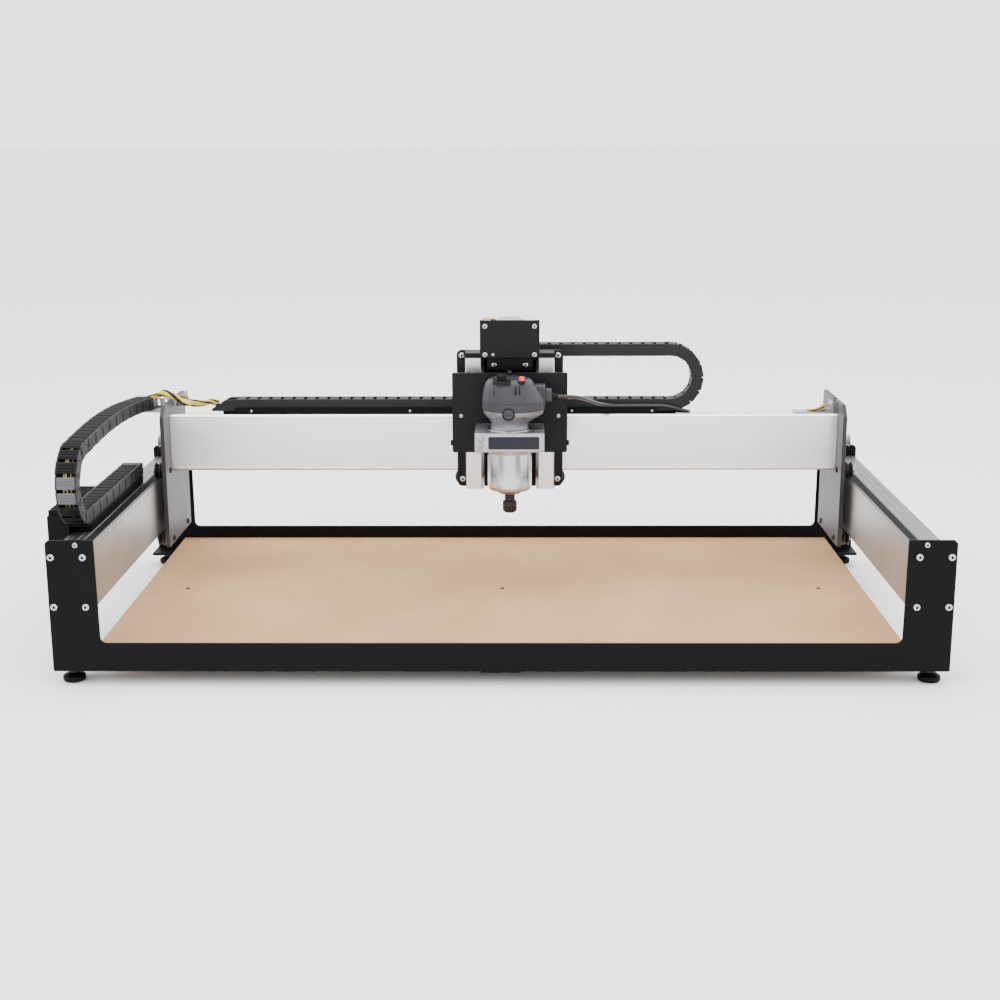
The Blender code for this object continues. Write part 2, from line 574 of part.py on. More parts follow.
def build_clamp(looks):
    """Split aluminium block that grips the router's body, bolted to the Z plate."""
    z0, z1 = CLAMP_Z
    back = ZP_Y[0] - GAP
    clamp = block('router_clamp', (CAR_X - CLAMP_HALF, CAR_X + CLAMP_HALF), (ROUTER_Y - CLAMP_FRONT, back),
                  CLAMP_Z, looks['rail'], 1.5)
    bore = rod('router_clamp.bore', BODY_R + GAP, 'Z', (z0 - 5, z1 + 5), (CAR_X, ROUTER_Y, 0), None, 40)
    split = block('router_clamp.split', (CAR_X - CLAMP_HALF - 11, CAR_X - BODY_R + 6),
                  (ROUTER_Y - SPLIT_HALF, ROUTER_Y + SPLIT_HALF), (z0 - 5, z1 + 5))
    cut(clamp, bore, split)


def build_router(looks):
    axis = (CAR_X, ROUTER_Y, 0)
    foot_z, top_z = BODY_Z
    body = [(0, foot_z), (BODY_R - 2.5, foot_z), (BODY_R - 0.7, foot_z + 1), (BODY_R, foot_z + 3),
            (BODY_R, CLAMP_Z[1]), (30, CLAMP_Z[1] + 2.5), (28, top_z), (0, top_z)]
    motor_body = turned('router_body', body, 'Z', axis, looks['polished'], 40)
    cut(motor_body, rod('router_body.bore', SPINDLE_BORE, 'Z', (foot_z - 11, foot_z + 14), axis))
    build_router_head(looks)
    block('power_switch', SWITCH_X, (TOP_Y - 3.5, TOP_Y + 3.5), (347, 354.5), looks['red'], 0.8)
    dial = [(0, -DIAL_HALF), (DIAL_R - 0.4, -DIAL_HALF), (DIAL_R, 1 - DIAL_HALF), (DIAL_R, DIAL_HALF - 1),
            (DIAL_R - 0.4, DIAL_HALF), (0, DIAL_HALF)]
    turned('speed_dial', dial, 'X', (DIAL_X, TOP_Y, DIAL_Z), looks['plastic'], 20)
    shaft_r = 7.4
    spindle = [(0, 154.5), (NOSE_R - 1, 154.5), (NOSE_R, 156), (NOSE_R, 168), (NOSE_R - 1.5, 170),
               (shaft_r, 170), (shaft_r, 198), (0, 198)]
    turned('spindle', spindle, 'Z', axis, looks['bright'], 24)


def build_router_head(looks):
    """Plastic housing over the top of the router, with the lead's boss on its right."""
    low, high = HEAD_Z
    head = [(0, low), (HEAD_R - 3.5, low), (HEAD_R - 1, low + 2), (HEAD_R, low + 12), (HEAD_R, high - 17.5),
            (HEAD_R - 1.5, high - 8.5), (HEAD_R - 5.5, high - 2.5), (HEAD_R - 12.5, high), (0, high)]
    shell = turned('router_head', head, 'Z', (CAR_X, ROUTER_Y, 0), looks['grey'], 36)
    boss = [(0, 0), (BOSS_R, 0), (BOSS_R, 45), (BOSS_R - 2.5, 49), (4.6, 51), (4.6, 55), (0, 55)]
    exit_boss = turned('router_head.boss', boss, 'X', (CAR_X + BOSS_START, ROUTER_Y + BOSS_BACK, BOSS_Z),
                       None, 16)
    cap = [(0, 2), (5, 2), (5, -3), (4.2, -4), (0, -4)]
    brush_cap = turned('router_head.cap', cap, 'Y', (CAR_X - 1.5, ROUTER_Y - HEAD_R + 1.5, low + 5), None, 12)
    add(shell, exit_boss, brush_cap)
    switch_slot = block('router_head.slot', (SWITCH_X[0] - 2.5, SWITCH_X[1] + 2.5), (TOP_Y - 5, TOP_Y + 5),
                        (346.5, high + 6.5))
    dial_slot = block('router_head.dial_slot', (DIAL_X - DIAL_HALF - 1, DIAL_X + DIAL_HALF + 1),
                      (TOP_Y - 7.2, TOP_Y + 7.2), (DIAL_Z - 7, high + 6.5))
    cut(shell, switch_slot, dial_slot)


def smooth_route(points, per_step):
    """Points of a Catmull-Rom curve through the route's points."""
    knots = [Vector(p) for p in points]
    knots = [knots[0] * 2 - knots[1]] + knots + [knots[-1] * 2 - knots[-2]]
    path = []
    for a, b, c, d in zip(knots, knots[1:], knots[2:], knots[3:]):
        for k in range(per_step):
            t = k / per_step
            path.append(0.5 * (2 * b + (c - a) * t + (2 * a - 5 * b + 4 * c - d) * t ** 2
                               + (3 * b - a - 3 * c + d) * t ** 3))
    return path + [knots[-2]]


def build_cord(looks):
    path = smooth_route(CORD_ROUTE, CORD_STEPS)
    curve = bpy.data.curves.new('router_cord', 'CURVE')
    curve.dimensions = '3D'
    curve.bevel_depth = CORD_R * MM
    curve.bevel_resolution = 2
    curve.use_fill_caps = True
    spline = curve.splines.new('POLY')
    spline.points.add(len(path) - 1)
    for point, place in zip(spline.points, path):
        point.co = (*world(place), 1.0)
    thing = bpy.data.objects.new('router_cord', curve)
    bpy.context.scene.collection.objects.link(thing)
    curve.materials.append(looks['plastic'])


def main():
    for thing in list(bpy.data.objects):
        bpy.data.objects.remove(thing)
    looks = {
        'steel': paint('black_steel', (0.015, 0.015, 0.017), 0.5),
        'rail': paint('rail_aluminium', (0.62, 0.62, 0.64), 0.35, 1.0),
        'side': paint('grey_plate', (0.35, 0.35, 0.37), 0.45, 0.8),
        'anodised': paint('black_anodised', (0.02, 0.02, 0.023), 0.4, 0.3),
        'bracket': paint('bare_steel', (0.55, 0.54, 0.58), 0.4, 1.0),
        'board': paint('fibreboard', (0.58, 0.41, 0.26), 0.8),
        'belt': paint('belt_rubber', (0.02, 0.02, 0.02), 0.7),
        'rubber': paint('foot_rubber', (0.012, 0.012, 0.012), 0.7),
        'wheel': paint('wheel_resin', (0.03, 0.03, 0.03), 0.4),
        'motor': paint('motor_steel', (0.05, 0.05, 0.055), 0.4, 0.5),
        'bright': paint('bright_steel', (0.6, 0.6, 0.6), 0.25, 1.0),
        'polished': paint('polished_aluminium', (0.75, 0.75, 0.77), 0.2, 1.0),
        'plastic': paint('black_plastic', (0.03, 0.03, 0.032), 0.5),
        'grey': paint('grey_plastic', (0.07, 0.07, 0.08), 0.45),
        'brass': paint('nut_brass', (0.6, 0.42, 0.18), 0.35, 1.0),
        'red': paint('red_plastic', (0.6, 0.03, 0.02), 0.4),
    }
    build_frame(looks)
    build_gantry(looks)
    build_chains(looks)
    build_carriage(looks)
    build_z_slide(looks)
    build_cord(looks)


main()
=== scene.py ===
"""Looks for the gantry router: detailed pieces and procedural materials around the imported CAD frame.

Lengths are millimetres in the machine's own axes, as in the CAD: X across from the middle of the frame,
Y from the front plate's front face to the back, Z up from the floor. at() turns them into metres.
"""

import math
import random

import bmesh
import bpy
from mathutils import Matrix, Vector


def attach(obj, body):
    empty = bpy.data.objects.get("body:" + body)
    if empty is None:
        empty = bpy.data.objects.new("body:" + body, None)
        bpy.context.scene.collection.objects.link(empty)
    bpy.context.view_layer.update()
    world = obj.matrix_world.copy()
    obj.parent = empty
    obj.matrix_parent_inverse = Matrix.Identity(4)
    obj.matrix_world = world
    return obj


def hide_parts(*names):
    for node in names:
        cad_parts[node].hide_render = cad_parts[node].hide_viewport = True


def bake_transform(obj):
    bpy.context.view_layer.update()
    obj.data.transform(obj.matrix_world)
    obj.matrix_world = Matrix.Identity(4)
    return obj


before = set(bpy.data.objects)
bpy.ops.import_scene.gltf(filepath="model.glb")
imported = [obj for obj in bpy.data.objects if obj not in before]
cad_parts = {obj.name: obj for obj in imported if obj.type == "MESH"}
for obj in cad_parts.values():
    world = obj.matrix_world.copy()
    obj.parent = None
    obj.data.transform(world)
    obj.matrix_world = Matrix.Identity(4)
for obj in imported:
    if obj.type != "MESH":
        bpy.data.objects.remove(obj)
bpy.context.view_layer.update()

MM = 0.001
ORIGIN = Vector((-16.75, 300.0, 0.0))

# ---- driving sizes, as in the CAD ----------------------------------------------------------------
WIDTH, DEPTH = 1140.0, 600.0
PLATE_T = 4.0
PLATE_Z = (19.0, 191.5)
UPRIGHT_W, SILL_Z, SILL_R = 62.0, 56.5, 8.0
FLANGE_W = 50.0
BED_TOP = 37.0
FOOT_X, FOOT_Y, FOOT_R = 550.0, 22.0, 14.5
ENCLOSURE_X, ENCLOSURE_Y, ENCLOSURE_Z = (-603.5, -569.6), (123.0, 277.0), (112.0, 200.0)

RAIL_D, RAIL_H, LIP_T, LIP_H = 50.0, 73.0, 5.0, 6.5
Y_RAIL_IN, Y_RAIL_Z = 518.0, 137.3
X_RAIL_Y, X_RAIL_Z, X_RAIL_HALF = 430.0, 229.5, 502.6
WHEEL_R, GROOVE_R, WHEEL_W = 12.0, 9.0, 9.6
WHEEL_OFF = 2.5
WHEEL_RISE = RAIL_H / 2 + LIP_H + 9.5
SIDE_IN, SIDE_OUT = 503.0, 509.0
SIDE_Y, SIDE_Z = (390.0, 546.0), (76.0, 291.0)
Y_WHEELS = {'front': 418.0, 'rear': 520.0}
MOTOR, MOTOR_L = 57.0, 54.0
Y_MOTOR_Y, Y_MOTOR_Z = 511.5, 216.0
PULLEY_R = 8.0

CAR_X, CAR_HALF = 11.0, 79.0
CAR_Y, CAR_Z = (415.0, 421.0), (165.5, 372.0)
X_WHEELS, X_MOTOR_Z = 71.3, 325.0
COLUMN_X, COLUMN_W = 51.8, 27.0
COLUMN_Y, COLUMN_Z = (385.0, 414.7), (168.0, 371.5)
CAP_Z = 364.5                  # underside of the strip over the columns
COVER_X, COVER_Y, COVER_Z = 43.0, (350.0, 414.7), (368.7, 424.0)
SCREW_Y = 384.0
ZP_HALF, ZP_Y, ZP_Z = 83.5, (350.0, 356.0), (231.0, 348.0)
ROUTER_Y, BODY_R = 308.0, 31.5
CLAMP_HALF, CLAMP_Z, CLAMP_FRONT = 49.0, (247.0, 274.5), 271.0
BOSS_Z, BOSS_BACK = 318.0, 14.0

CHAIN_T, CHAIN_PITCH = 18.0, 17.5
XC_Y, XC_Z0, XC_R = (444.0, 472.0), 275.5, 50.5
XC_BEND, XC_FIXED, XC_MOVING = 251.0, -441.0, 35.0
YC_X, YC_Z0, YC_R = (-569.0, -540.5), 187.5, 54.0
YC_BEND, YC_FIXED, YC_MOVING = 109.0, 385.0, 455.0

CORD_R = 2.75
CORD_ROUTE = [
    (78.5, 322, 318), (85, 323, 317.8), (94, 329, 316.8), (105, 342, 314), (117, 362, 308.5),
    (130, 388, 300), (142, 411, 292), (155, 428, 286.8), (170, 437, 284.4), (190, 439.3, 284.2),
    (212, 439.5, 284.2), (234, 439.5, 284.2), (247, 439.6, 283.4), (258, 440, 281), (267, 441, 278),
    (275, 444.8, 275.6), (280.8, 451.5, 273.4), (283, 459.5, 271.4), (281, 467.5, 270),
    (275.5, 473.8, 269.3), (268, 477.4, 269.2), (256, 478.6, 269.2), (230, 478.6, 269.2),
    (202, 478.6, 269.2), (174, 478.6, 269.2), (150, 478.6, 269.4), (128, 479, 271), (109, 480.5, 276),
    (94, 482.5, 286), (84, 484, 300), (78.5, 484.5, 316), (76.5, 484.5, 332), (76, 484.5, 350),
]
SIDES = (('left', -1), ('right', 1))
FINE_SHARE = 0.55              # share of the fine grain in a material's pattern, against the mottle
NOISE_SPAN = (0.35, 0.65)      # lowest and highest value that the pattern takes in practice
RAIL_SCREWS = (-32.5, 32.5)    # heights of a rail's end screws about its middle
MOTOR_SCREWS = (-23.57, 23.57)  # places of a motor's screws about its shaft
WIRE_R = 1.15
SWITCH_X, DIAL_Y = 28.0, ROUTER_Y - 25.0
HEAD_LOW, HEAD_TOP = 303.2, 348.4
BRUSH_X, BRUSH_Z = CAR_X - 1.5, 301.5
CAMERA_PLACE, LENS, SENSOR = (22.2, -1858.4, 690.1), 55.59, 36.0
PITCH, YAW, ROLL = 0.2358, -0.0117, 0.0034
FLAG_X, FLAG_Y, FLAG_TOP = 1.5, (-2.6, -0.9), 3.5
SKY = 2.6                      # strength of the white surroundings


def at(*point):
    return (Vector(point) - ORIGIN) * MM


# ---- materials -----------------------------------------------------------------------------------
def make_look(name, slot, colour, rough, metallic=0.0, spread=0.12, stretch=(1, 1, 1), grain=900.0,
              bump=0.06, mottle=18.0, tint=None, specular=0.5):
    """Principled material with a fine stretched grain and a broad mottle.

    colour is the base, tint what it drifts towards; rough is its lowest and highest roughness; stretch
    shrinks the grain along an axis, so that brushed metal has lines along the axis with a small value.
    """
    material = bpy.data.materials.new(name)
    material.use_nodes = True
    tree = material.node_tree
    link = tree.links.new

    def prepare(node, **values):
        for socket, value in values.items():
            node.inputs[socket.replace('_', ' ')].default_value = value
        return node

    def maths(operation, factor):
        node = tree.nodes.new('ShaderNodeMath')
        node.operation = operation
        node.inputs[1].default_value = factor
        return node

    shader = prepare(tree.nodes['Principled BSDF'], Metallic=metallic, Specular_IOR_Level=specular)
    place = tree.nodes.new('ShaderNodeTexCoord')
    fit = prepare(tree.nodes.new('ShaderNodeMapping'), Scale=stretch)
    link(place.outputs['Object'], fit.inputs['Vector'])
    fine = prepare(tree.nodes.new('ShaderNodeTexNoise'), Scale=grain, Detail=3.0)
    link(fit.outputs['Vector'], fine.inputs['Vector'])
    broad = prepare(tree.nodes.new('ShaderNodeTexNoise'), Scale=mottle, Detail=5.0)
    link(place.outputs['Object'], broad.inputs['Vector'])
    blend = maths('MULTIPLY_ADD', FINE_SHARE)
    link(fine.outputs['Fac'], blend.inputs[0])
    rest = maths('MULTIPLY', 1.0 - FINE_SHARE)
    link(broad.outputs['Fac'], rest.inputs[0])
    link(rest.outputs['Value'], blend.inputs[2])
    ramp = tree.nodes.new('ShaderNodeValToRGB')
    away = tint or tuple(c * (1 - spread) for c in colour)
    towards = tuple(min(1.0, c * (1 + spread)) for c in colour)
    for stop, position, shade in zip(ramp.color_ramp.elements, NOISE_SPAN, (away, towards)):
        stop.position = position
        stop.color = (*shade, 1.0)
    link(blend.outputs['Value'], ramp.inputs['Fac'])
    link(ramp.outputs['Color'], shader.inputs['Base Color'])
    gloss = prepare(tree.nodes.new('ShaderNodeMapRange'), From_Min=NOISE_SPAN[0], From_Max=NOISE_SPAN[1],
                    To_Min=rough[0], To_Max=rough[1])
    link(blend.outputs['Value'], gloss.inputs['Value'])
    link(gloss.outputs['Result'], shader.inputs['Roughness'])
    lift = prepare(tree.nodes.new('ShaderNodeBump'), Strength=bump, Distance=0.0004)
    link(fine.outputs['Fac'], lift.inputs['Height'])
    link(lift.outputs['Normal'], shader.inputs['Normal'])
    return material, slot


ALONG_X, ALONG_Y, ALONG_Z, ROUND = (0.02, 1, 1), (1, 0.02, 1), (1, 1, 0.02), (0.03, 0.03, 1)
LOOKS = {
    'coat': make_look('powder_coat', 'black_steel', (0.0028, 0.0028, 0.0034), (0.42, 0.55), bump=0.12,
                      grain=1400.0, specular=0.07),
    'coat_fine': make_look('black_sheet', 'black_anodised', (0.0045, 0.0045, 0.006), (0.42, 0.52), 0.0,
                           grain=1800.0, specular=0.13),
    'rail_x': make_look('brushed_rail_x', 'rail_aluminium', (0.85, 0.845, 0.87), (0.3, 0.42), 1.0, 0.05,
                        ALONG_X, 1100.0),
    # the Y rails are the X rail's extrusion painted darker: their colour holds painted shade
    'rail_y_shaded': make_look('brushed_rail_y_painted_shade', 'rail_aluminium', (0.43, 0.425, 0.42), (0.34, 0.46), 1.0, 0.05,
                        ALONG_Y, 1100.0),
    # darker copy of the rail aluminium for the rails' upward faces: painted shade
    'rail_top_shaded': make_look('brushed_rail_top_painted_shade', 'rail_aluminium', (0.2, 0.198, 0.2), (0.4, 0.52), 1.0, 0.05,
                          ALONG_Y, 1100.0),
    'column': make_look('brushed_column', 'rail_aluminium', (0.66, 0.645, 0.65), (0.3, 0.42), 1.0, 0.05,
                        ALONG_Z, 1100.0),
    'side': make_look('satin_side_plate', 'grey_plate', (0.075, 0.073, 0.08), (0.45, 0.55), 0.45, 0.06,
                      ALONG_Z, 700.0),
    # near-black copy of the side plate for its edge faces: painted shade
    'edge': make_look('plate_edge_painted_shade', 'grey_plate', (0.02, 0.02, 0.022), (0.45, 0.55), 0.3),
    'board': make_look('fibreboard', 'fibreboard', (0.46, 0.28, 0.15), (0.72, 0.86), 0.0, 0.07,
                       (1, 1, 1), 420.0, 0.25, tint=(0.36, 0.21, 0.108), mottle=7.0, specular=0.1),
    'belt': make_look('belt_rubber', 'belt_rubber', (0.007, 0.007, 0.0075), (0.6, 0.75), specular=0.2),
    'rubber': make_look('foot_rubber', 'foot_rubber', (0.003, 0.003, 0.003), (0.45, 0.65), bump=0.2,
                        specular=0.08),
    'wheel': make_look('wheel_resin', 'wheel_resin', (0.01, 0.01, 0.011), (0.3, 0.42), specular=0.3),
    'screw': make_look('stainless_screw', 'bright_steel', (0.5, 0.5, 0.51), (0.2, 0.32), 1.0, 0.06),
    'steel': make_look('turned_steel', 'bright_steel', (0.36, 0.36, 0.37), (0.2, 0.34), 1.0, 0.08, ROUND,
                       1500.0),
    'nut': make_look('blackened_nut', 'bright_steel', (0.022, 0.019, 0.018), (0.32, 0.45), 0.6,
                     specular=0.3),
    'cast': make_look('cast_collar', 'polished_aluminium', (0.19, 0.192, 0.215), (0.4, 0.52), 0.75, 0.08,
                      (1, 1, 1), 1500.0, 0.3),
    'polished': make_look('turned_body', 'polished_aluminium', (0.5, 0.49, 0.5), (0.2, 0.3), 1.0,
                          0.05, ROUND, 1600.0, 0.05),
    'clamp': make_look('machined_clamp', 'rail_aluminium', (0.38, 0.375, 0.395), (0.3, 0.42), 0.95, 0.06,
                       ALONG_X, 1300.0),
    'panel': make_look('blank_panel', 'black_anodised', (0.004, 0.005, 0.011), (0.3, 0.38), specular=0.25),
    'grey': make_look('moulded_head', 'grey_plastic', (0.021, 0.022, 0.026), (0.36, 0.48), 0.0, 0.1,
                      (1, 1, 1), 2200.0, 0.3, specular=0.35),
    'black': make_look('moulded_black', 'black_plastic', (0.0045, 0.0045, 0.005), (0.4, 0.52), bump=0.15,
                       specular=0.18),
    'chain': make_look('chain_link', 'black_plastic', (0.009, 0.009, 0.01), (0.42, 0.58), bump=0.2,
                       specular=0.2),
    'chain_bar': make_look('chain_crossbar', 'black_plastic', (0.0055, 0.0055, 0.0065), (0.45, 0.55),
                           specular=0.12),
    'pale_bar': make_look('chain_snap_bar', 'black_plastic', (0.075, 0.072, 0.085), (0.4, 0.5)),
    'lead': make_look('lead_sheath', 'black_plastic', (0.012, 0.012, 0.013), (0.28, 0.38), specular=0.5),
    'bracket': make_look('bare_bracket', 'bare_steel', (0.36, 0.35, 0.39), (0.32, 0.45), 1.0, 0.08),
    'lamination': make_look('motor_laminations', 'motor_steel', (0.01, 0.01, 0.011), (0.4, 0.55), 0.4,
                            0.25, (0.05, 1, 0.05), 900.0, 0.3),
    'cap': make_look('motor_end_cap', 'motor_steel', (0.33, 0.33, 0.35), (0.3, 0.42), 1.0, 0.08),
    'brass': make_look('nut_brass', 'brass', (0.45, 0.3, 0.11), (0.25, 0.38), 1.0),
    'red': make_look('switch_red', 'red_plastic', (0.62, 0.035, 0.015), (0.3, 0.4)),
    'yellow': make_look('wire_yellow', 'black_plastic', (0.6, 0.47, 0.035), (0.35, 0.45)),
    'white': make_look('wire_white', 'black_plastic', (0.6, 0.6, 0.57), (0.35, 0.45)),
    'red_wire': make_look('wire_red', 'black_plastic', (0.3, 0.05, 0.03), (0.35, 0.45)),
}


# ---- shape helpers: each adds to a bmesh in machine millimetres ------------------------------------
PLANES = {'X': lambda u, v, w: (w, u, v), 'Y': lambda u, v, w: (u, w, v), 'Z': lambda u, v, w: (u, v, w)}


def piece(name, shell, look, body, stands_for=(), bevel=0.0, angle=32):
    """Names the shape, gives it its look and body, and lets it stand for CAD nodes."""
    bmesh.ops.recalc_face_normals(shell, faces=shell.faces)
    for vert in shell.verts:
        vert.co = at(*vert.co)
    mesh = bpy.data.meshes.new(name)
    shell.to_mesh(mesh)
    shell.free()
    mesh.shade_smooth()
    mesh.set_sharp_from_angle(angle=math.radians(angle))
    thing = bpy.data.objects.new(name, mesh)
    bpy.context.scene.collection.objects.link(thing)
    material, slot = LOOKS[look]
    mesh.materials.append(material)
    if bevel:
        soften(thing, bevel)
    if body:
        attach(thing, body)
    if stands_for:
        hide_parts(*([stands_for] if isinstance(stands_for, str) else stands_for))
    return thing


def soften(thing, width):
    step = thing.modifiers.new('edges', 'BEVEL')
    step.width = width * MM
    step.segments = 2
    step.limit_method = 'ANGLE'
    step.angle_limit = math.radians(40)
    return thing


def repaint(node, look):
    """Gives a CAD node that stays shown its look."""
    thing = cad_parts[node]
    thing.data.materials.clear()
    thing.data.materials.append(LOOKS[look][0])


def second_look(thing, look, chooses):
    """Gives the faces whose normal is chosen a look of their own; here that look is painted shade, on the
    side rails' tops and the side plates' edges.
    """
    thing.data.materials.append(LOOKS[look][0])
    for face in thing.data.polygons:
        if chooses(face.normal):
            face.material_index = 1


def slab(shell, xs, ys, zs):
    made = bmesh.ops.create_cube(shell, size=1.0)
    for vert in made['verts']:
        share = [c + 0.5 for c in vert.co]
        vert.co = [low + part * (high - low) for part, (low, high) in zip(share, (xs, ys, zs))]


def prism(shell, outline, along, span):
    place = PLANES[along]
    ends = [[shell.verts.new(place(u, v, w)) for u, v in outline] for w in span]
    shell.faces.new(ends[0])
    shell.faces.new(ends[1])
    for i in range(len(outline)):
        j = (i + 1) % len(outline)
        shell.faces.new((ends[0][i], ends[0][j], ends[1][j], ends[1][i]))


def lathe(shell, profile, along, centre, segments=48, radius=None):
    """Turns (radius, travel) pairs about an axis; radius(r, angle, travel) may reshape the rings."""
    place = PLANES[along]
    middle = Vector(centre)
    rings = []
    for reach, travel in profile:
        ring = []
        for k in range(segments if reach > 0 else 1):
            turn = math.tau * k / segments
            r = radius(reach, turn, travel) if radius else reach
            ring.append(shell.verts.new(middle + Vector(place(r * math.cos(turn), r * math.sin(turn),
                                                              travel))))
        rings.append(ring)
    pairs = list(zip(rings, rings[1:]))
    if profile[0][0] > 0:
        pairs.append((rings[-1], rings[0]))
    for near, far in pairs:
        for k in range(segments):
            m = (k + 1) % segments
            corners = [near[k % len(near)], near[m % len(near)], far[m % len(far)], far[k % len(far)]]
            unique = list(dict.fromkeys(corners))
            if len(unique) > 2:
                shell.faces.new(unique)


def sleeve(inner, outer, start, end):
    """Profile of a tube, or of a rod where inner is 0, between two stations on its axis."""
    return [(inner, start), (outer, start), (outer, end), (inner, end)]


def screw(shell, along, towards, centre, radius=4.75, height=2.7):
    """Button head with a hexagon socket, standing on centre and pointing along the axis."""
    hexagon = 0.44 * radius
    profile = [(0, -0.6), (radius, -0.6), (radius, height * 0.3), (radius * 0.93, height * 0.62),
               (radius * 0.76, height * 0.9), (radius * 0.6, height), (hexagon, height),
               (hexagon, -0.2), (0, -0.2)]

    def socket(reach, turn, travel):
        if reach != hexagon:
            return reach
        return reach * math.cos(math.pi / 6) / math.cos(turn % (math.pi / 3) - math.pi / 6)

    lathe(shell, [(r, t * towards) for r, t in profile], along, centre, 24, socket)


def boxes(*spans):
    """New shell of boxes, each given by its X, Y and Z spans."""
    shell = bmesh.new()
    for xs, ys, zs in spans:
        slab(shell, xs, ys, zs)
    return shell


def filled(helper, *details):
    """New shell filled by one call of a shape helper."""
    shell = bmesh.new()
    helper(shell, *details)
    return shell


def toothed(shell, along, centre, teeth, outer, root, span, bore):
    """Ring with square teeth, as on a belt pulley or a knurled knob."""
    steps = teeth * 4

    def reach(r, turn, _):
        if r != outer:
            return r
        return outer if round(turn / math.tau * steps) % 4 < 2 else root

    lathe(shell, [(bore, span[0]), (outer, span[0]), (outer, span[1]), (bore, span[1])], along, centre,
          steps,
          reach)


def sweep(shell, points, radius, sides=8):
    """Round tube along points, with its frame carried along without twist."""
    path = [Vector(p) for p in points]
    tangents = [(b - a).normalized() for a, b in zip([path[0]] + path[:-1], path[1:] + [path[-1]])]
    normal = tangents[0].orthogonal().normalized()
    rings = []
    for place, tangent in zip(path, tangents):
        normal = (normal - tangent * normal.dot(tangent)).normalized()
        side = tangent.cross(normal)
        rings.append([shell.verts.new(place + radius * (math.cos(math.tau * k / sides) * normal
                                                        + math.sin(math.tau * k / sides) * side))
                      for k in range(sides)])
    for near, far in zip(rings, rings[1:]):
        for k in range(sides):
            m = (k + 1) % sides
            shell.faces.new((near[k], near[m], far[m], far[k]))
    shell.faces.new(rings[0])
    shell.faces.new(rings[-1])


def smooth_route(points, per_step):
    """Points of a Catmull-Rom curve through the route's points."""
    knots = [Vector(p) for p in points]
    knots = [knots[0] * 2 - knots[1]] + knots + [knots[-1] * 2 - knots[-2]]
    path = []
    for a, b, c, d in zip(knots, knots[1:], knots[2:], knots[3:]):
        for k in range(per_step):
            t = k / per_step
            path.append(0.5 * (2 * b + (c - a) * t + (2 * a - 5 * b + 4 * c - d) * t ** 2
                               + (3 * b - a - 3 * c + d) * t ** 3))
    return path + [knots[-2]]


def rounded(xs, zs, radius, steps=5):
    """Outline of a rectangle with round corners."""
    outline = []
    corners = ((xs[1], zs[1], 0), (xs[0], zs[1], 1), (xs[0], zs[0], 2), (xs[1], zs[0], 3))
    for x, z, quarter in corners:
        cx = x - radius if x == xs[1] else x + radius
        cz = z - radius if z == zs[1] else z + radius
        for k in range(steps + 1):
            turn = math.pi / 2 * (quarter + k / steps)
            outline.append((cx + radius * math.cos(turn), cz + radius * math.sin(turn)))
    return outline


def carve(thing, cutters):
    """Cuts shapes, each a shape helper and its details, out of a finished piece."""
    for number, (helper, *details) in enumerate(cutters):
        shell = filled(helper, *details)
        bmesh.ops.recalc_face_normals(shell, faces=shell.faces)
        for vert in shell.verts:
            vert.co = at(*vert.co)
        mesh = bpy.data.meshes.new('cutter')
        shell.to_mesh(mesh)
        shell.free()
        tool = bpy.data.objects.new('cutter', mesh)
        bpy.context.scene.collection.objects.link(tool)
        step = thing.modifiers.new(f'cut{number}', 'BOOLEAN')
        step.operation = 'DIFFERENCE'
        step.solver = 'EXACT'
        step.object = tool
    bpy.context.view_layer.update()
    ready = thing.evaluated_get(bpy.context.evaluated_depsgraph_get())
    mesh = bpy.data.meshes.new_from_object(ready)
    for step in list(thing.modifiers):
        if step.type == 'BOOLEAN':
            bpy.data.objects.remove(step.object)
    thing.modifiers.clear()
    mesh.shade_smooth()
    mesh.set_sharp_from_angle(angle=math.radians(32))
    thing.data = mesh
    return thing


# ---- frame -----------------------------------------------------------------------------------------
def build_end_plate(name, y_outer, inward):
    half, (low, high) = WIDTH / 2, PLATE_Z
    inner = half - UPRIGHT_W
    chamfer = 4.0
    right = [(half, low + 2), (half, high - chamfer), (half - chamfer, high), (inner + 1, high)]
    for k in range(9):
        turn = math.radians(90 * k / 8)
        x = inner - SILL_R + SILL_R * math.cos(turn)
        right.append((x, SILL_Z + SILL_R - SILL_R * math.sin(turn)))
    outline = [(-half + 2, low), (half - 2, low)] + right + [(-x, z) for x, z in reversed(right)]
    piece(name + '_sheet', filled(prism, outline, 'Y', sorted((y_outer, y_outer + inward * PLATE_T))),
          'coat', 'frame', name, 0.7)
    shell = bmesh.new()
    slab(shell, (-half, half), sorted((y_outer + inward * 0.6, y_outer + inward * FLANGE_W)),
         (low, low + PLATE_T))
    piece(name + '_flange', shell, 'coat', 'frame', (), 0.9)
    heads = bmesh.new()
    for side in (-1, 1):
        for inset in (5.0, RAIL_D - 5.0):
            for rise in RAIL_SCREWS:
                screw(heads, 'Y', -inward, (side * (Y_RAIL_IN + inset), y_outer, Y_RAIL_Z + rise))
        screw(heads, 'Y', -inward, (side * 531.5, y_outer, 185.5), 3.6, 2.2)
        for x in (503, 419, 300, 100):
            screw(heads, 'Z', -1, (side * x, y_outer + inward * 9, low), 3.2, 1.7)
    piece(name + '_screws', heads, 'screw', 'frame')


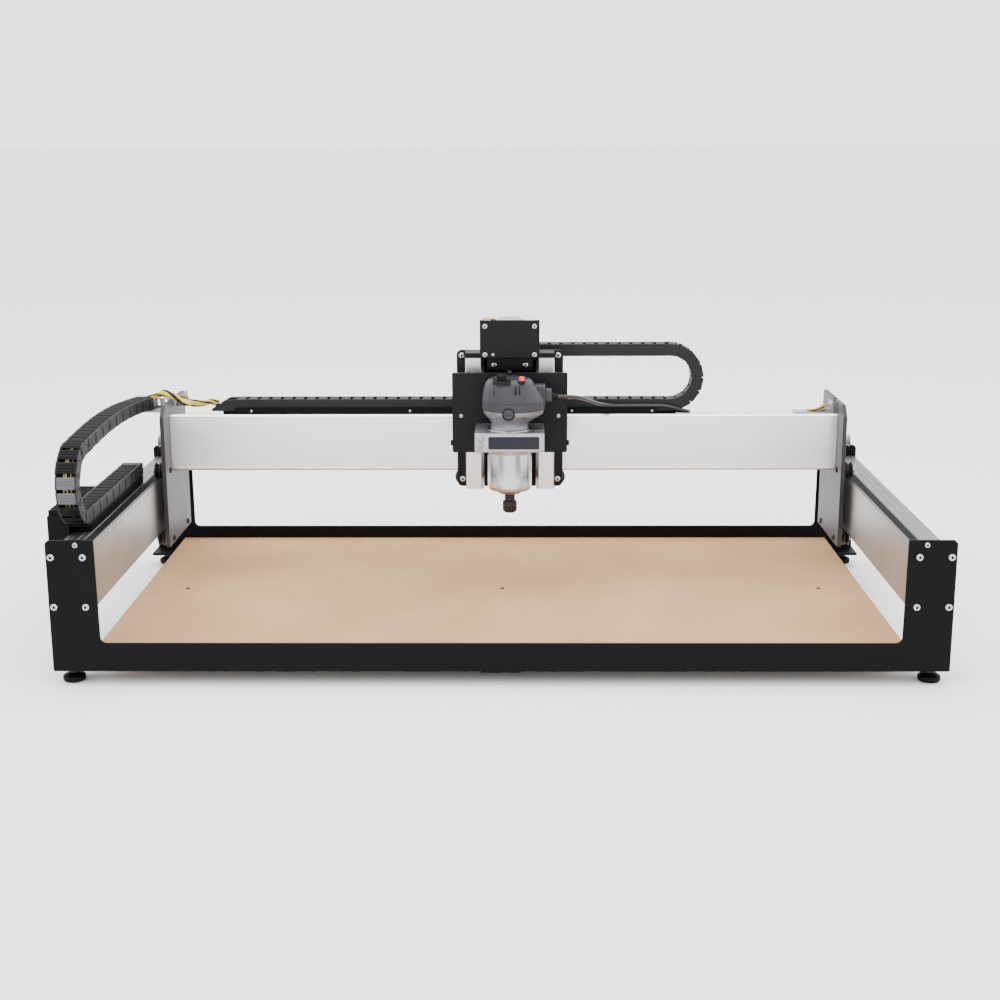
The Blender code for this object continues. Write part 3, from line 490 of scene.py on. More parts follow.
def rail_profile():
    """Lipped extrusion: (depth from the lipped face, height from the middle), with fine grooves."""
    half = RAIL_H / 2
    tip = half + LIP_H
    shoulder = tip - LIP_T / 2
    upper = [(0, half - 1.2), (0.5, half - 0.6), (0, half), (0, shoulder), (LIP_T / 2, tip),
             (LIP_T, shoulder), (LIP_T, half)]
    for start in (21.0, 30.0, 39.0):
        upper += [(start, half), (start + 0.4, half - 0.7), (start + 1.0, half - 0.7), (start + 1.4, half)]
    upper += [(RAIL_D - 1.5, half), (RAIL_D, half - 1.5)]
    back = []
    for middle in (20.0, -20.0):
        back += [(RAIL_D, middle + 5), (RAIL_D - 2.2, middle + 4), (RAIL_D - 2.2, middle - 4),
                 (RAIL_D, middle - 5)]
    return upper + back + [(d, -h) for d, h in reversed(upper)]


def build_side_rail(word, side):
    shell = bmesh.new()
    outline = [(side * (Y_RAIL_IN + d), Y_RAIL_Z + h) for d, h in rail_profile()]
    prism(shell, outline, 'Y', (PLATE_T + 0.3, DEPTH - PLATE_T - 0.3))
    # the rail's faces take the painted-shade copy of the aluminium
    rail = piece(f'{word}_side_rail', shell, 'rail_y_shaded', 'frame', f'{word}_y_rail', angle=20)
    # the upward faces get the darker copy: painted shade on the rail tops
    second_look(rail, 'rail_top_shaded', lambda normal: normal.z > 0.5)
    top = Y_RAIL_Z + RAIL_H / 2
    low, high = sorted((side * (Y_RAIL_IN + 6.5), side * (Y_RAIL_IN + 18.5)))
    shell = bmesh.new()
    belt_strip(shell, (low, high), (PLATE_T + 1, DEPTH - PLATE_T - 1), top + 0.3, False)
    piece(f'{word}_side_belt', shell, 'belt', 'frame', f'{word}_y_belt')


def belt_strip(shell, across, along, base, lengthwise_x):
    """Toothed belt lying teeth up; along is its length, on X or else on Y."""
    pitch = 3.0
    outline = [(along[0], base)]
    count = int((along[1] - along[0]) / pitch)
    for i in range(count):
        start = along[0] + pitch * i
        outline += [(start, base + 0.9), (start + 0.5, base + 1.6), (start + 1.6, base + 1.6),
                    (start + 2.1, base + 0.9)]
    outline.append((along[1], base + 0.9))
    outline.append((along[1], base))
    prism(shell, outline, 'Y' if lengthwise_x else 'X', across)


def build_foot(name, x, y):
    profile = [(0, 0), (FOOT_R - 2.2, 0), (FOOT_R - 0.8, 0.8), (FOOT_R, 2.4), (FOOT_R, 6.4),
               (FOOT_R - 0.6, 7.4), (FOOT_R - 2.2, 8.2), (FOOT_R - 4, 9.6), (6.5, 10.4), (0, 10.4)]
    piece(name + '_pad', filled(lathe, profile, 'Z', (x, y, 0)), 'rubber', 'frame', name)
    shell = bmesh.new()
    lathe(shell, [(0, 10.2), (4, 10.2), (4, PLATE_Z[0] - 0.3), (0, PLATE_Z[0] - 0.3)], 'Z', (x, y, 0))
    lathe(shell, [(0, 11.4), (7.6, 11.4), (8.2, 12), (8.2, 15.6), (7.6, 16.2), (0, 16.2)], 'Z', (x, y, 0),
          6)
    piece(name + '_stud', shell, 'nut', 'frame', angle=25)


def build_controller():
    (x0, x1), (y0, y1), (z0, z1) = ENCLOSURE_X, ENCLOSURE_Y, ENCLOSURE_Z
    piece('controller_case', boxes(((x0, x1), (y0, y1), (z0, z1 - 8))), 'coat', 'frame',
          'controller_enclosure', 1.6)
    fins = bmesh.new()
    count = 26
    for i in range(count):
        y = y0 + 4 + (y1 - y0 - 9.4) * i / (count - 1)
        slab(fins, (x0 + 1.5, x1 - 1.5), (y, y + 1.8), (z1 - 9, z1 - 0.6 - 0.5 * (i % 2)))
    piece('controller_fins', fins, 'coat', 'frame', (), 0.3)
    ports = bmesh.new()
    for y, wide in ((150, 12), (172, 9), (192, 9), (232, 20)):
        slab(ports, (x0 - 1.6, x0 + 1), (y, y + wide), (132, 132 + wide * 0.75))
    piece('controller_ports', ports, 'black', 'frame', (), 0.5)
    heads = bmesh.new()
    for y in (y0 + 7, y1 - 7):
        for z in (z0 + 7, z1 - 16):
            screw(heads, 'X', -1, (x0, y, z), 2.6, 1.5)
    piece('controller_screws', heads, 'screw', 'frame')


def build_frame():
    build_end_plate('front_end_plate', 0.0, 1)
    build_end_plate('rear_end_plate', DEPTH, -1)
    for word, side in SIDES:
        build_side_rail(word, side)
        for end, y in (('front', FOOT_Y), ('rear', DEPTH - FOOT_Y)):
            build_foot(f'{end}_{word}_foot', side * FOOT_X, y)
    repaint('wasteboard', 'board')
    repaint('bed_brace', 'coat')
    deck = Y_RAIL_Z + RAIL_H / 2 + 0.3
    shell = bmesh.new()
    left, right = YC_X[0] + 0.7, YC_X[1] - 0.4
    slab(shell, (left, right), (113, 402), (deck, YC_Z0 - 0.3))
    slab(shell, (left, right), (96, 114), (YC_Z0 - 2.8, YC_Z0 - 0.3))
    slab(shell, (left, left + 2.5), (96, 402), (deck, YC_Z0 + 7))
    piece('y_tray_sheet', shell, 'coat', 'frame', 'y_chain_tray', 0.4)
    inserts = bmesh.new()
    for x in (-461.0, 0.0, 461.0):
        lathe(inserts, [(2.6, BED_TOP - 4), (3.8, BED_TOP - 4), (3.8, BED_TOP - 0.2),
                        (2.6, BED_TOP - 0.4)], 'Z',
              (x, 308, 0), 24)
    piece('bed_inserts', inserts, 'nut', 'frame')
    build_controller()


# ---- cable chains ----------------------------------------------------------------------------------
class HalfChain:
    """Half a cable chain: a straight run from far to the tangent point, then a quarter bend.

    level is -1 for the lower half and +1 for the upper one; facing is the way the bend bulges along the
    chain's own axis, 'X' or 'Y'. Distances along the chain count from the far end. bow is how high its
    straight run arches, and drift how far sideways its far end lies.
    """

    def __init__(self, along, far, tangent, base, radius, facing, level, across, bow=0.0, drift=0.0):
        self.bow, self.drift = bow, drift
        self.along, self.far, self.tangent, self.base = along, far, tangent, base
        self.facing, self.level = facing, level
        self.middle = radius - CHAIN_T / 2
        self.straight = abs(tangent - far)
        self.length = self.straight + self.middle * math.pi / 2
        self.across = sum(across) / 2
        self.width = across[1] - across[0]

    def place(self, distance, out=0.0, sideways=0.0):
        """Point at a distance along the chain, out from its middle line and across it."""
        reach = self.middle + out
        if distance < self.straight:
            run = self.far + self.facing * distance
            height = self.base + self.level * reach + self.bow * math.sin(math.pi * distance / self.straight)
            sideways += self.drift * (1 - distance / self.straight) ** 2
        else:
            turn = (distance - self.straight) / self.middle
            run = self.tangent + self.facing * reach * math.sin(turn)
            height = self.base + self.level * reach * math.cos(turn)
        if self.along == 'X':
            return Vector((run, self.across + sideways, height))
        return Vector((self.across + sideways, run, height))

    def mark(self, run):
        return at(run, self.across, self.base) if self.along == 'X' else at(self.across, run, self.base)


def chain_plate(shell, chain, centre, half_length, offsets, shape):
    """Plate between two sideways offsets; shape holds (share of half_length, height) corners."""
    sides = []
    for offset in offsets:
        corners = []
        for share, out in shape:
            straight = chain.place(centre, 0, offset)
            ahead = chain.place(centre + 0.5, 0, offset) - chain.place(centre - 0.5, 0, offset)
            outward = chain.place(centre, 1, offset) - straight
            corners.append(shell.verts.new(straight + ahead * share * half_length + outward * out))
        sides.append(corners)
    shell.faces.new(sides[0])
    shell.faces.new(sides[1])
    for i in range(len(shape)):
        j = (i + 1) % len(shape)
        shell.faces.new((sides[0][i], sides[0][j], sides[1][j], sides[1][i]))


def build_half_chain(name, chain, pale_links=(), first=0):
    """Links, crossbars and wires of half a chain, from its far end along a straight run and round its bend.

    first is the number of links that its end fitting takes the place of.
    """
    count = round(chain.length / CHAIN_PITCH)
    pitch = chain.length / count
    half_width = chain.width / 2
    links = bmesh.new()
    plain_bars = bmesh.new()
    snap_bars = bmesh.new()
    edge = CHAIN_T / 2
    outline = [(-1.1, -edge + 1.4), (-0.96, -edge), (0.96, -edge), (1.1, -edge + 1.4), (1.12, edge - 1.6),
               (0.9, edge), (-0.9, edge), (-1.12, edge - 1.6)]
    ring = [(math.cos(math.tau * k / 12) * 0.36, math.sin(math.tau * k / 12) * 3.1) for k in range(12)]
    bar_shape = [(-1.0, 0), (-0.8, 0.9), (0.8, 0.9), (1.0, 0), (1.0, -0.7), (-1.0, -0.7)]
    narrow = chain.along == 'X'
    bar_half = pitch * (0.37 if narrow else 0.45)
    for i in range(first, count):
        centre = (i + 0.5) * pitch
        lean = 0.5 if i % 2 else 0.0
        for side in (-1, 1):
            outer = side * (half_width - lean)
            chain_plate(links, chain, centre, pitch / 2, (outer - side * 2.2, outer), outline)
            middle = centre + pitch * 0.32
            if middle < chain.length:
                chain_plate(links, chain, middle, pitch / 2, (outer - side * 1.0, outer + side * 0.45),
                            ring)
        bars = snap_bars if i in pale_links else plain_bars
        for face in (-1, 1):
            shape = [(share, face * (edge - 0.9 + rise)) for share, rise in bar_shape]
            offsets = (-half_width + 2.0, half_width - 2.0)
            chain_plate(bars, chain, centre, bar_half, offsets, shape)
            for ridge in () if narrow else (-0.62, 0.0, 0.62):
                rib = [(ridge + share * 0.16, face * (edge + 0.1 + rise)) for share, rise in bar_shape]
                chain_plate(bars, chain, centre, pitch * 0.4, (-half_width + 3.4, half_width - 3.4), rib)
    start, end = chain.mark(chain.far), chain.mark(chain.tangent)
    made = [piece(name + '_links', links, 'chain', None, name, angle=25),
            piece(name + '_bars', plain_bars, 'chain_bar', None, angle=25)]
    if pale_links:
        made.append(piece(name + '_snap_bars', snap_bars, 'pale_bar', None, angle=25))
    else:
        snap_bars.free()
    draw = random.Random(name)
    steps = max(12, round(chain.length / 9))
    for look, lanes in (('yellow', (-5.0, 4.4)), ('white', (-1.4,)), ('black', (1.8, 7.2, -7.6))):
        wires = bmesh.new()
        for lane in lanes:
            rise = draw.uniform(-2.0, 3.2)
            phase = draw.uniform(0, math.tau)
            points = []
            for k in range(steps + 1):
                distance = chain.length * k / steps
                sway = 0.9 * math.sin(phase + distance / 34.0)
                points.append(chain.place(distance, rise + sway * 0.7, lane + sway))
            sweep(wires, points, WIRE_R, 6)
        made.append(piece(f'{name}_{look}_wires', wires, look, None))
    for thing in made:
        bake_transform(thing)


def chain_end(name, chain, body, look, reach=16.0):
    """End bracket that holds the last link: a floor, a roof and two cheeks."""
    half_width = chain.width / 2
    shell = bmesh.new()
    back = -chain.facing
    for side in (-1, 1):
        cheek = [chain.place(0, out, side * (half_width - 0.4)) for out in (-8.6, 8.6)]
        low = [min(p[i] for p in cheek) for i in range(3)]
        high = [max(p[i] for p in cheek) for i in range(3)]
        spans = [[a, b] for a, b in zip(low, high)]
        run = 0 if chain.along == 'X' else 1
        wide = 1 - run
        spans[run] = sorted((chain.far - chain.facing * 1.0, chain.far + back * reach))
        spans[wide] = [spans[wide][0] - 1.2, spans[wide][1] + 1.2]
        slab(shell, *spans)
    floor_z = chain.base + chain.level * (chain.middle + CHAIN_T / 2 * (1 if chain.level < 0 else -1))
    floor = [None, None, [floor_z, floor_z + 2.2]]
    floor[0 if chain.along == 'X' else 1] = sorted((chain.far, chain.far + back * reach))
    middle = chain.across + chain.drift
    floor[1 if chain.along == 'X' else 0] = [middle - half_width, middle + half_width]
    slab(shell, *floor)
    roof = list(floor)
    roof[2] = [floor_z + CHAIN_T - 2.2, floor_z + CHAIN_T]
    slab(shell, *roof)
    piece(name, shell, look, body, (), 0.5)


def chain_wedge(name, chain, body, reach):
    """Fixed end of a chain: a floor and two cheeks that rise from the tray to the height of the links."""
    floor = chain.base - chain.middle - CHAIN_T / 2
    top = floor + CHAIN_T - 0.6
    start, end = chain.far, chain.far + reach
    outline = [(start, floor), (end, floor), (end, top), (end - reach * 0.3, top), (start, floor + 4)]
    shell = bmesh.new()
    edges = (chain.across - chain.width / 2, chain.across + chain.width / 2)
    prism(shell, outline, 'Y', (edges[0], edges[0] + 2.2))
    prism(shell, outline, 'Y', (edges[1] - 2.2, edges[1]))
    slab(shell, (start, end), (edges[0] + 2.0, edges[1] - 2.0), (floor, floor + 2.2))
    piece(name, shell, 'chain', body, (), 0.5)


def build_chains():
    for level, half, far, fixed in ((-1, 'lower', XC_FIXED, 'gantry'), (1, 'upper', XC_MOVING, 'carriage')):
        chain = HalfChain('X', far, XC_BEND, XC_Z0 + XC_R, XC_R, 1, level, XC_Y)
        taken = 2 if level < 0 else 0
        build_half_chain(f'x_chain_{half}', chain, (), taken)
        if taken:
            chain_wedge(f'x_chain_{half}_end', chain, fixed, taken * CHAIN_PITCH)
        else:
            chain_end(f'x_chain_{half}_end', chain, fixed, 'chain')
    for level, half, far, fixed in ((-1, 'lower', YC_FIXED, 'frame'), (1, 'upper', YC_MOVING, 'gantry')):
        bow, drift = (9.0, 9.0) if level > 0 else (0.0, 0.0)
        chain = HalfChain('Y', far, YC_BEND, YC_Z0 + YC_R, YC_R, -1, level, YC_X, bow, drift)
        last = round(chain.length / CHAIN_PITCH) - 1
        build_half_chain(f'y_chain_{half}', chain, (last,))
        chain_end(f'y_chain_{half}_end', chain, fixed, 'bracket' if level > 0 else 'chain')


# ---- wheels, pulleys and motors --------------------------------------------------------------------
def build_wheel(node, along, centre):
    half, edge = WHEEL_W / 2, WHEEL_R - GROOVE_R
    body = node + '_body'
    shell = bmesh.new()
    lathe(shell, [(8.0, -half), (WHEEL_R - 1.2, -half), (WHEEL_R - 0.3, -half + 0.4),
                  (WHEEL_R, -half + 1.1),
                  (WHEEL_R, -edge), (GROOVE_R, 0), (WHEEL_R, edge), (WHEEL_R, half - 1.1),
                  (WHEEL_R - 0.3, half - 0.4), (WHEEL_R - 1.2, half), (8.0, half)], along, centre)
    piece(node + '_tyre', shell, 'wheel', body, node)
    shell = bmesh.new()
    near = half - 0.7
    lathe(shell, [(3.2, -near), (4.6, -near), (4.8, -near + 0.4), (6.4, -near + 0.4), (6.6, -near),
                  (7.95, -near),
                  (7.95, near), (6.6, near), (6.4, near - 0.4), (4.8, near - 0.4), (4.6, near),
                  (3.2, near)],
          along, centre, 32)
    piece(node + '_bearing', shell, 'steel', body)


def build_axles(name, along, outward, centres, face, body, nut):
    """Spacers, axle bolts and lock nuts of some wheels, as one steel piece and one black one."""
    bolts = bmesh.new()
    spacers = bmesh.new()
    axis = 'XYZ'.index(along)
    for centre in centres:
        middle = centre[axis] - face
        base = list(centre)
        base[axis] = face
        near = middle - outward * (WHEEL_W / 2 + 0.1)
        far = middle + outward * (WHEEL_W / 2 + 0.1)
        lathe(spacers, [(2.6, 0), (6.2, 0), (6.2, near * 0.6), (4.6, near * 0.7), (4.6, near), (2.6, near)],
              along, base, 6 if nut > 1 else 24)
        lathe(bolts, [(0, 0), (2.5, 0), (2.5, far), (5.6, far), (5.6, far + outward * 0.5),
                      (2.5, far + outward * 0.5), (2.5, far + outward * nut), (0, far + outward * nut)],
              along, base, 24)
        if nut > 1:
            lathe(bolts, [(2.5, far + outward * 0.5), (4.5, far + outward * 0.5),
                          (4.5, far + outward * (nut - 0.6)),
                          (4.0, far + outward * nut), (2.5, far + outward * nut)], along, base, 6)
        inner = list(centre)
        inner[axis] = face - outward * 6.0
        screw(spacers if nut > 1 else bolts, along, -outward, inner, 4.6, 2.6)
    piece(name + '_bolts', bolts, 'screw', body, angle=25)
    piece(name + '_spacers', spacers, 'nut', body, angle=25)


def build_pulley(node, along, centre, reach):
    shell = bmesh.new()
    toothed(shell, along, centre, 20, PULLEY_R, PULLEY_R - 1.1, (-6.4, 6.4), 3.0)
    middle = centre['XYZ'.index(along)]
    sign = 1 if reach > middle else -1
    for face in (-6.9, 6.9):
        lathe(shell, sleeve(3.0, PULLEY_R + 1.4, face - 0.6, face + 0.6), along, centre, 40)
    end = reach - middle
    lathe(shell, sleeve(0, 3.1, -sign * 7.5, end), along, centre, 24)
    piece(node + '_teeth', shell, 'steel', node + '_body', node, angle=25)


def build_motor(name, along, spans, body, node, face_low):
    """Square stepper: laminated middle, two end caps and four screws on the end away from its face."""
    axis = 'XYZ'.index(along)
    low, high = spans[axis]
    parts = (('stack', 'lamination', (low + 12, high - 9), 1.6), ('low_cap', 'cap', (low, low + 12), 2.4),
             ('high_cap', 'cap', (high - 9, high), 2.4))
    for word, look, span, bevel in parts:
        shell = bmesh.new()
        box = [list(s) for s in spans]
        box[axis] = list(span)
        if word == 'stack':
            for other in range(3):
                if other != axis:
                    box[other] = [box[other][0] + 0.5, box[other][1] - 0.5]
        slab(shell, *box)
        piece(f'{name}_{word}', shell, look, body, node if word == 'stack' else (), bevel)
    heads = bmesh.new()
    others = [i for i in range(3) if i != axis]
    plain_end = high if face_low else low
    for a in (0, 1):
        for b in (0, 1):
            spot = [0.0, 0.0, 0.0]
            spot[axis] = plain_end
            spot[others[0]] = spans[others[0]][a] + (5 if a == 0 else -5)
            spot[others[1]] = spans[others[1]][b] + (5 if b == 0 else -5)
            screw(heads, along, 1 if face_low else -1, spot, 2.6, 1.6)
    piece(f'{name}_screws', heads, 'screw', body)


# ---- gantry ------------------------------------------------------------------------------------------
def build_side_plate(word, side):
    (y0, y1), (z0, z1) = SIDE_Y, SIDE_Z
    outline = [(y0, z0 + 3), (y0 + 3, z0), (y1 - 3, z0), (y1, z0 + 3), (y1, z1 - 3), (y1 - 3, z1),
               (466, z1), (464, z1 - 5), (458, z1 - 5), (456, z1), (y0 + 16, z1), (y0, z1 - 16)]
    shell = bmesh.new()
    prism(shell, outline, 'X', sorted((side * SIDE_IN, side * SIDE_OUT)))
    name = f'{word}_side_plate'
    plate = piece(name + '_sheet', shell, 'side', 'gantry', name, 0.6)
    # the plate's edge faces get the near-black look: painted shade
    second_look(plate, 'edge', lambda normal: abs(normal.x) < 0.5)
    centres = [(side * (Y_RAIL_IN + WHEEL_OFF), y, Y_RAIL_Z + rise)
               for y in Y_WHEELS.values() for rise in (WHEEL_RISE, -WHEEL_RISE)]
    build_axles(name, 'X', side, centres, side * SIDE_OUT, 'gantry', 3.4)
    heads = bmesh.new()
    for y in (X_RAIL_Y + 5, X_RAIL_Y + RAIL_D - 5):
        for rise in RAIL_SCREWS:
            screw(heads, 'X', side, (side * SIDE_OUT, y, X_RAIL_Z + rise))
    for dy in MOTOR_SCREWS:
        for dz in MOTOR_SCREWS:
            screw(heads, 'X', side, (side * SIDE_OUT, Y_MOTOR_Y + dy, Y_MOTOR_Z + dz), 4.0, 2.4)
    piece(name + '_screws', heads, 'screw', 'gantry')
    half = MOTOR / 2
    spans = (sorted((side * (SIDE_IN - 0.3 - MOTOR_L), side * (SIDE_IN - 0.3))),
             (Y_MOTOR_Y - half, Y_MOTOR_Y + half), (Y_MOTOR_Z - half, Y_MOTOR_Z + half))
    build_motor(f'{word}_y_drive', 'X', spans, 'gantry', f'{word}_y_motor', side < 0)
    build_pulley(f'{word}_y_pulley', 'X', (side * (Y_RAIL_IN + 14.5), Y_MOTOR_Y, Y_MOTOR_Z), side * SIDE_IN)


def build_gantry():
    for word, side in SIDES:
        build_side_plate(word, side)
        for place, y in Y_WHEELS.items():
            for level, rise in (('upper', WHEEL_RISE), ('lower', -WHEEL_RISE)):
                centre = (side * (Y_RAIL_IN + WHEEL_OFF), y, Y_RAIL_Z + rise)
                build_wheel(f'{word}_{place}_{level}_wheel', 'X', centre)
    shell = bmesh.new()
    outline = [(X_RAIL_Y + d, X_RAIL_Z + h) for d, h in rail_profile()]
    prism(shell, outline, 'X', (-X_RAIL_HALF, X_RAIL_HALF))
    piece('gantry_rail', shell, 'rail_x', 'gantry', 'x_rail', angle=20)
    top = X_RAIL_Z + RAIL_H / 2
    shell = bmesh.new()
    belt_strip(shell, (X_RAIL_Y + 7, X_RAIL_Y + 19), (-497, 497), top + 0.3, True)
    piece('gantry_belt', shell, 'belt', 'gantry', 'x_belt')
    repaint('x_chain_tray', 'coat')
    heads = bmesh.new()
    for x in (-380, -140, 104, 225):
        screw(heads, 'Y', -1, (x, 438.8, 276.5), 2.0, 1.0)
    piece('chain_tray_screws', heads, 'screw', 'gantry')
    build_wire_shelf()


def build_wire_shelf():
    """Bare steel shelf that carries the loom from one chain to the other, with its wires."""
    shelf_z = YC_Z0 + 2 * YC_R - CHAIN_T - 0.3
    inner = -SIDE_OUT - 0.3
    shell = bmesh.new()
    slab(shell, (YC_X[0] + 8, inner), (440, 486), (shelf_z - 3, shelf_z))
    slab(shell, (inner - 3, inner), (440, 486), (250, shelf_z - 0.5))
    slab(shell, (-533, inner + 2), (470, 472), (shelf_z - 1, shelf_z + 14))
    plate = piece('loom_bracket', shell, 'bracket', 'gantry', 'y_chain_bracket', 0.5)
    carve(plate, [(lathe, sleeve(0, 2.2, 463, 479), 'Y', (x, 0, z), 16)
                  for x in (-527, -516) for z in (shelf_z + 5, shelf_z + 10)])
    shell = bmesh.new()
    slab(shell, (-502.4, -438), (444, 472), (277.6, 279.6))
    slab(shell, (-502.4, -440), (444, 446), (271.5, 279.6))
    prism(shell, [(-502.4, 279), (-480, 279), (-483, 305), (-496, 292)], 'Y', (470, 472))
    plate = piece('loom_shelf', shell, 'bracket', 'gantry', (), 0.4)
    holes = [(slab, (x, x + 7), (452, 456), (265, 290)) for x in (-496, -484, -472, -460, -448)]
    holes += [(lathe, sleeve(0, 1.7, 438, 450), 'Y', (x, 0, 275.4), 16)
              for x in (-494, -478, -462, -448)]
    carve(plate, holes)
    piece('right_stay', boxes(((440, 496), (446, 470), (270.0, 272.4)),
                              ((496, 499), (446, 470), (258, 288))), 'bracket', 'gantry', (), 0.5)
    route = [(-552, 452, 287), (-540, 456, 293), (-527, 458, 299), (-515, 457, 300.5), (-502, 456, 296),
             (-489, 456, 290), (-474, 457, 286.5), (-458, 458, 286), (-444, 458, 287.5), (-432, 458, 287)]
    spine = smooth_route(route, 6)
    draw = random.Random(7)
    for look, count, fill in (('yellow', 15, 1.0), ('black', 3, 1.0), ('white', 2, 0.5),
                              ('red_wire', 2, 0.4)):
        wires = bmesh.new()
        for _ in range(count):
            phase = draw.uniform(0, math.tau)
            spin = draw.uniform(0.08, 0.34)
            reach = fill * draw.uniform(1.6, 5.4)
            points = []
            for k, middle in enumerate(spine):
                turn = phase + spin * k
                share = k / (len(spine) - 1)
                fan = reach * (0.75 + 0.5 * math.sin(math.pi * share))
                points.append(middle + Vector((0, fan * math.cos(turn), fan * 0.8 * math.sin(turn))))
            sweep(wires, points, WIRE_R, 7)
        piece(f'loom_{look}', wires, look, 'gantry')
    for look, lanes in (('yellow', (0.0, 2.6)), ('black', (1.3, 3.9)), ('red_wire', (5.0,))):
        wires = bmesh.new()
        for lane in lanes:
            route = [(478, 492 - lane, 236), (486, 490 - lane, 262), (492 - lane, 482, 276),
                     (494 - lane, 470, 279), (486, 460 + lane, 280 - lane),
                     (474, 456 + lane, 276 - lane / 2),
                     (462, 458 + lane, 274)]
            sweep(wires, smooth_route(route, 6), WIRE_R, 7)
        piece(f'right_loom_{look}', wires, look, 'gantry')


# ---- carriage ----------------------------------------------------------------------------------------
def build_carriage():
    xs = (CAR_X - CAR_HALF, CAR_X + CAR_HALF)
    shell = bmesh.new()
    prism(shell, rounded(xs, CAR_Z, 7.0), 'Y', CAR_Y)
    slab(shell, (CAR_X - 24, CAR_X + 24), (372, CAR_Y[0] + 1), (180, 194))
    plate = piece('carriage_sheet', shell, 'coat_fine', 'carriage', 'carriage_plate', 0.6)
    carve(plate, [(lathe, sleeve(0, 4.6, 170, 200), 'Z', (CAR_X, SCREW_Y, 0), 32)])
    for rise, level in ((WHEEL_RISE, 'upper'), (-WHEEL_RISE, 'lower')):
        for word, side in SIDES:
            centre = (CAR_X + side * X_WHEELS, X_RAIL_Y + WHEEL_OFF, X_RAIL_Z + rise)
            build_wheel(f'carriage_{word}_{level}_wheel', 'Y', centre)
    centres = [(CAR_X + side * X_WHEELS, X_RAIL_Y + WHEEL_OFF, X_RAIL_Z + rise)
               for side in (-1, 1) for rise in (WHEEL_RISE, -WHEEL_RISE)]
    build_axles('carriage', 'Y', 1, centres, CAR_Y[1], 'carriage', 0.6)
    heads = bmesh.new()
    for side in (-1, 1):
        screw(heads, 'Y', -1, (CAR_X + side * X_WHEELS, CAR_Y[0], CAR_Z[1] - 8))
        screw(heads, 'Y', -1, (CAR_X + side * 22.7, 372, 356.5), 4.2, 2.4)
    piece('carriage_screws', heads, 'screw', 'carriage')
    ribs = bmesh.new()
    for side in (-1, 1):
        middle = CAR_X + side * 71.5
        slab(ribs, (middle - 5.5, middle + 5.5), (409, 415.5), (334, 357))
        for k in range(6):
            slab(ribs, (middle - 5.5, middle + 5.5), (406.8, 409.5), (335 + 3.7 * k, 337 + 3.7 * k))
    piece('carriage_belt_grips', ribs, 'black', 'carriage', (), 0.3)
    for word, side in SIDES:
        build_column(word, side)
    shell = bmesh.new()
    slab(shell, (CAR_X - 65.5, CAR_X + 65.5), (COLUMN_Y[0] - 0.5, CAR_Y[0] - 0.3),
         (CAP_Z + 0.2, CAR_Z[1] - 0.2))
    piece('column_cap', shell, 'coat_fine', 'carriage', (), 0.5)
    block = piece('upper_bearing', boxes(((CAR_X - 33, CAR_X + 33), (372, 414.8), (348.5, 367.5))),
                  'coat_fine', 'carriage', (), 0.8)
    carve(block, [(lathe, sleeve(0, 5.2, 340, 372), 'Z', (CAR_X, SCREW_Y, 0), 32)])
    build_x_drive()
    build_z_drive()


def build_column(word, side):
    """Extruded guide column: chamfered inner front corner and a slot down its outer side."""
    middle = CAR_X + side * COLUMN_X
    y0, y1 = COLUMN_Y
    half = COLUMN_W / 2
    local = [(-half, y0 + 4.5), (-half + 4.5, y0), (half - 1, y0), (half, y0 + 1), (half, y0 + 11),
             (half - 4, y0 + 11), (half - 4, y0 + 18), (half, y0 + 18), (half, y1 - 1), (half - 1, y1),
             (-half + 1, y1), (-half, y1 - 1)]
    outline = [(middle + side * x, y) for x, y in local]
    piece(f'{word}_guide_column', filled(prism, outline, 'Z', (COLUMN_Z[0], CAP_Z)), 'column', 'carriage',
          f'{word}_z_column', 0.3)


def build_x_drive():
    half = MOTOR / 2
    face = 452.0
    spans = ((CAR_X - half, CAR_X + half), (face, face + MOTOR_L), (X_MOTOR_Z - half, X_MOTOR_Z + half))
    build_motor('x_drive', 'Y', spans, 'carriage', 'x_motor', True)
    stands = bmesh.new()
    for dx in MOTOR_SCREWS:
        for dz in MOTOR_SCREWS:
            lathe(stands, [(0, CAR_Y[1]), (3.5, CAR_Y[1]), (3.5, face), (0, face)], 'Y',
                  (CAR_X + dx, 0, X_MOTOR_Z + dz), 6)
    piece('x_drive_standoffs', stands, 'cap', 'carriage')
    build_pulley('x_pulley', 'Y', (CAR_X, X_RAIL_Y + 13, X_MOTOR_Z), face - 0.3)
    repaint('x_chain_bracket', 'coat')
    shelf_z = XC_Z0 + 2 * XC_R - CHAIN_T - 0.3
    piece('lead_clip', boxes(((66, 86), (476.5, 492), (shelf_z - 10, shelf_z - 2.6))), 'black', 'carriage',
          (), 0.8)


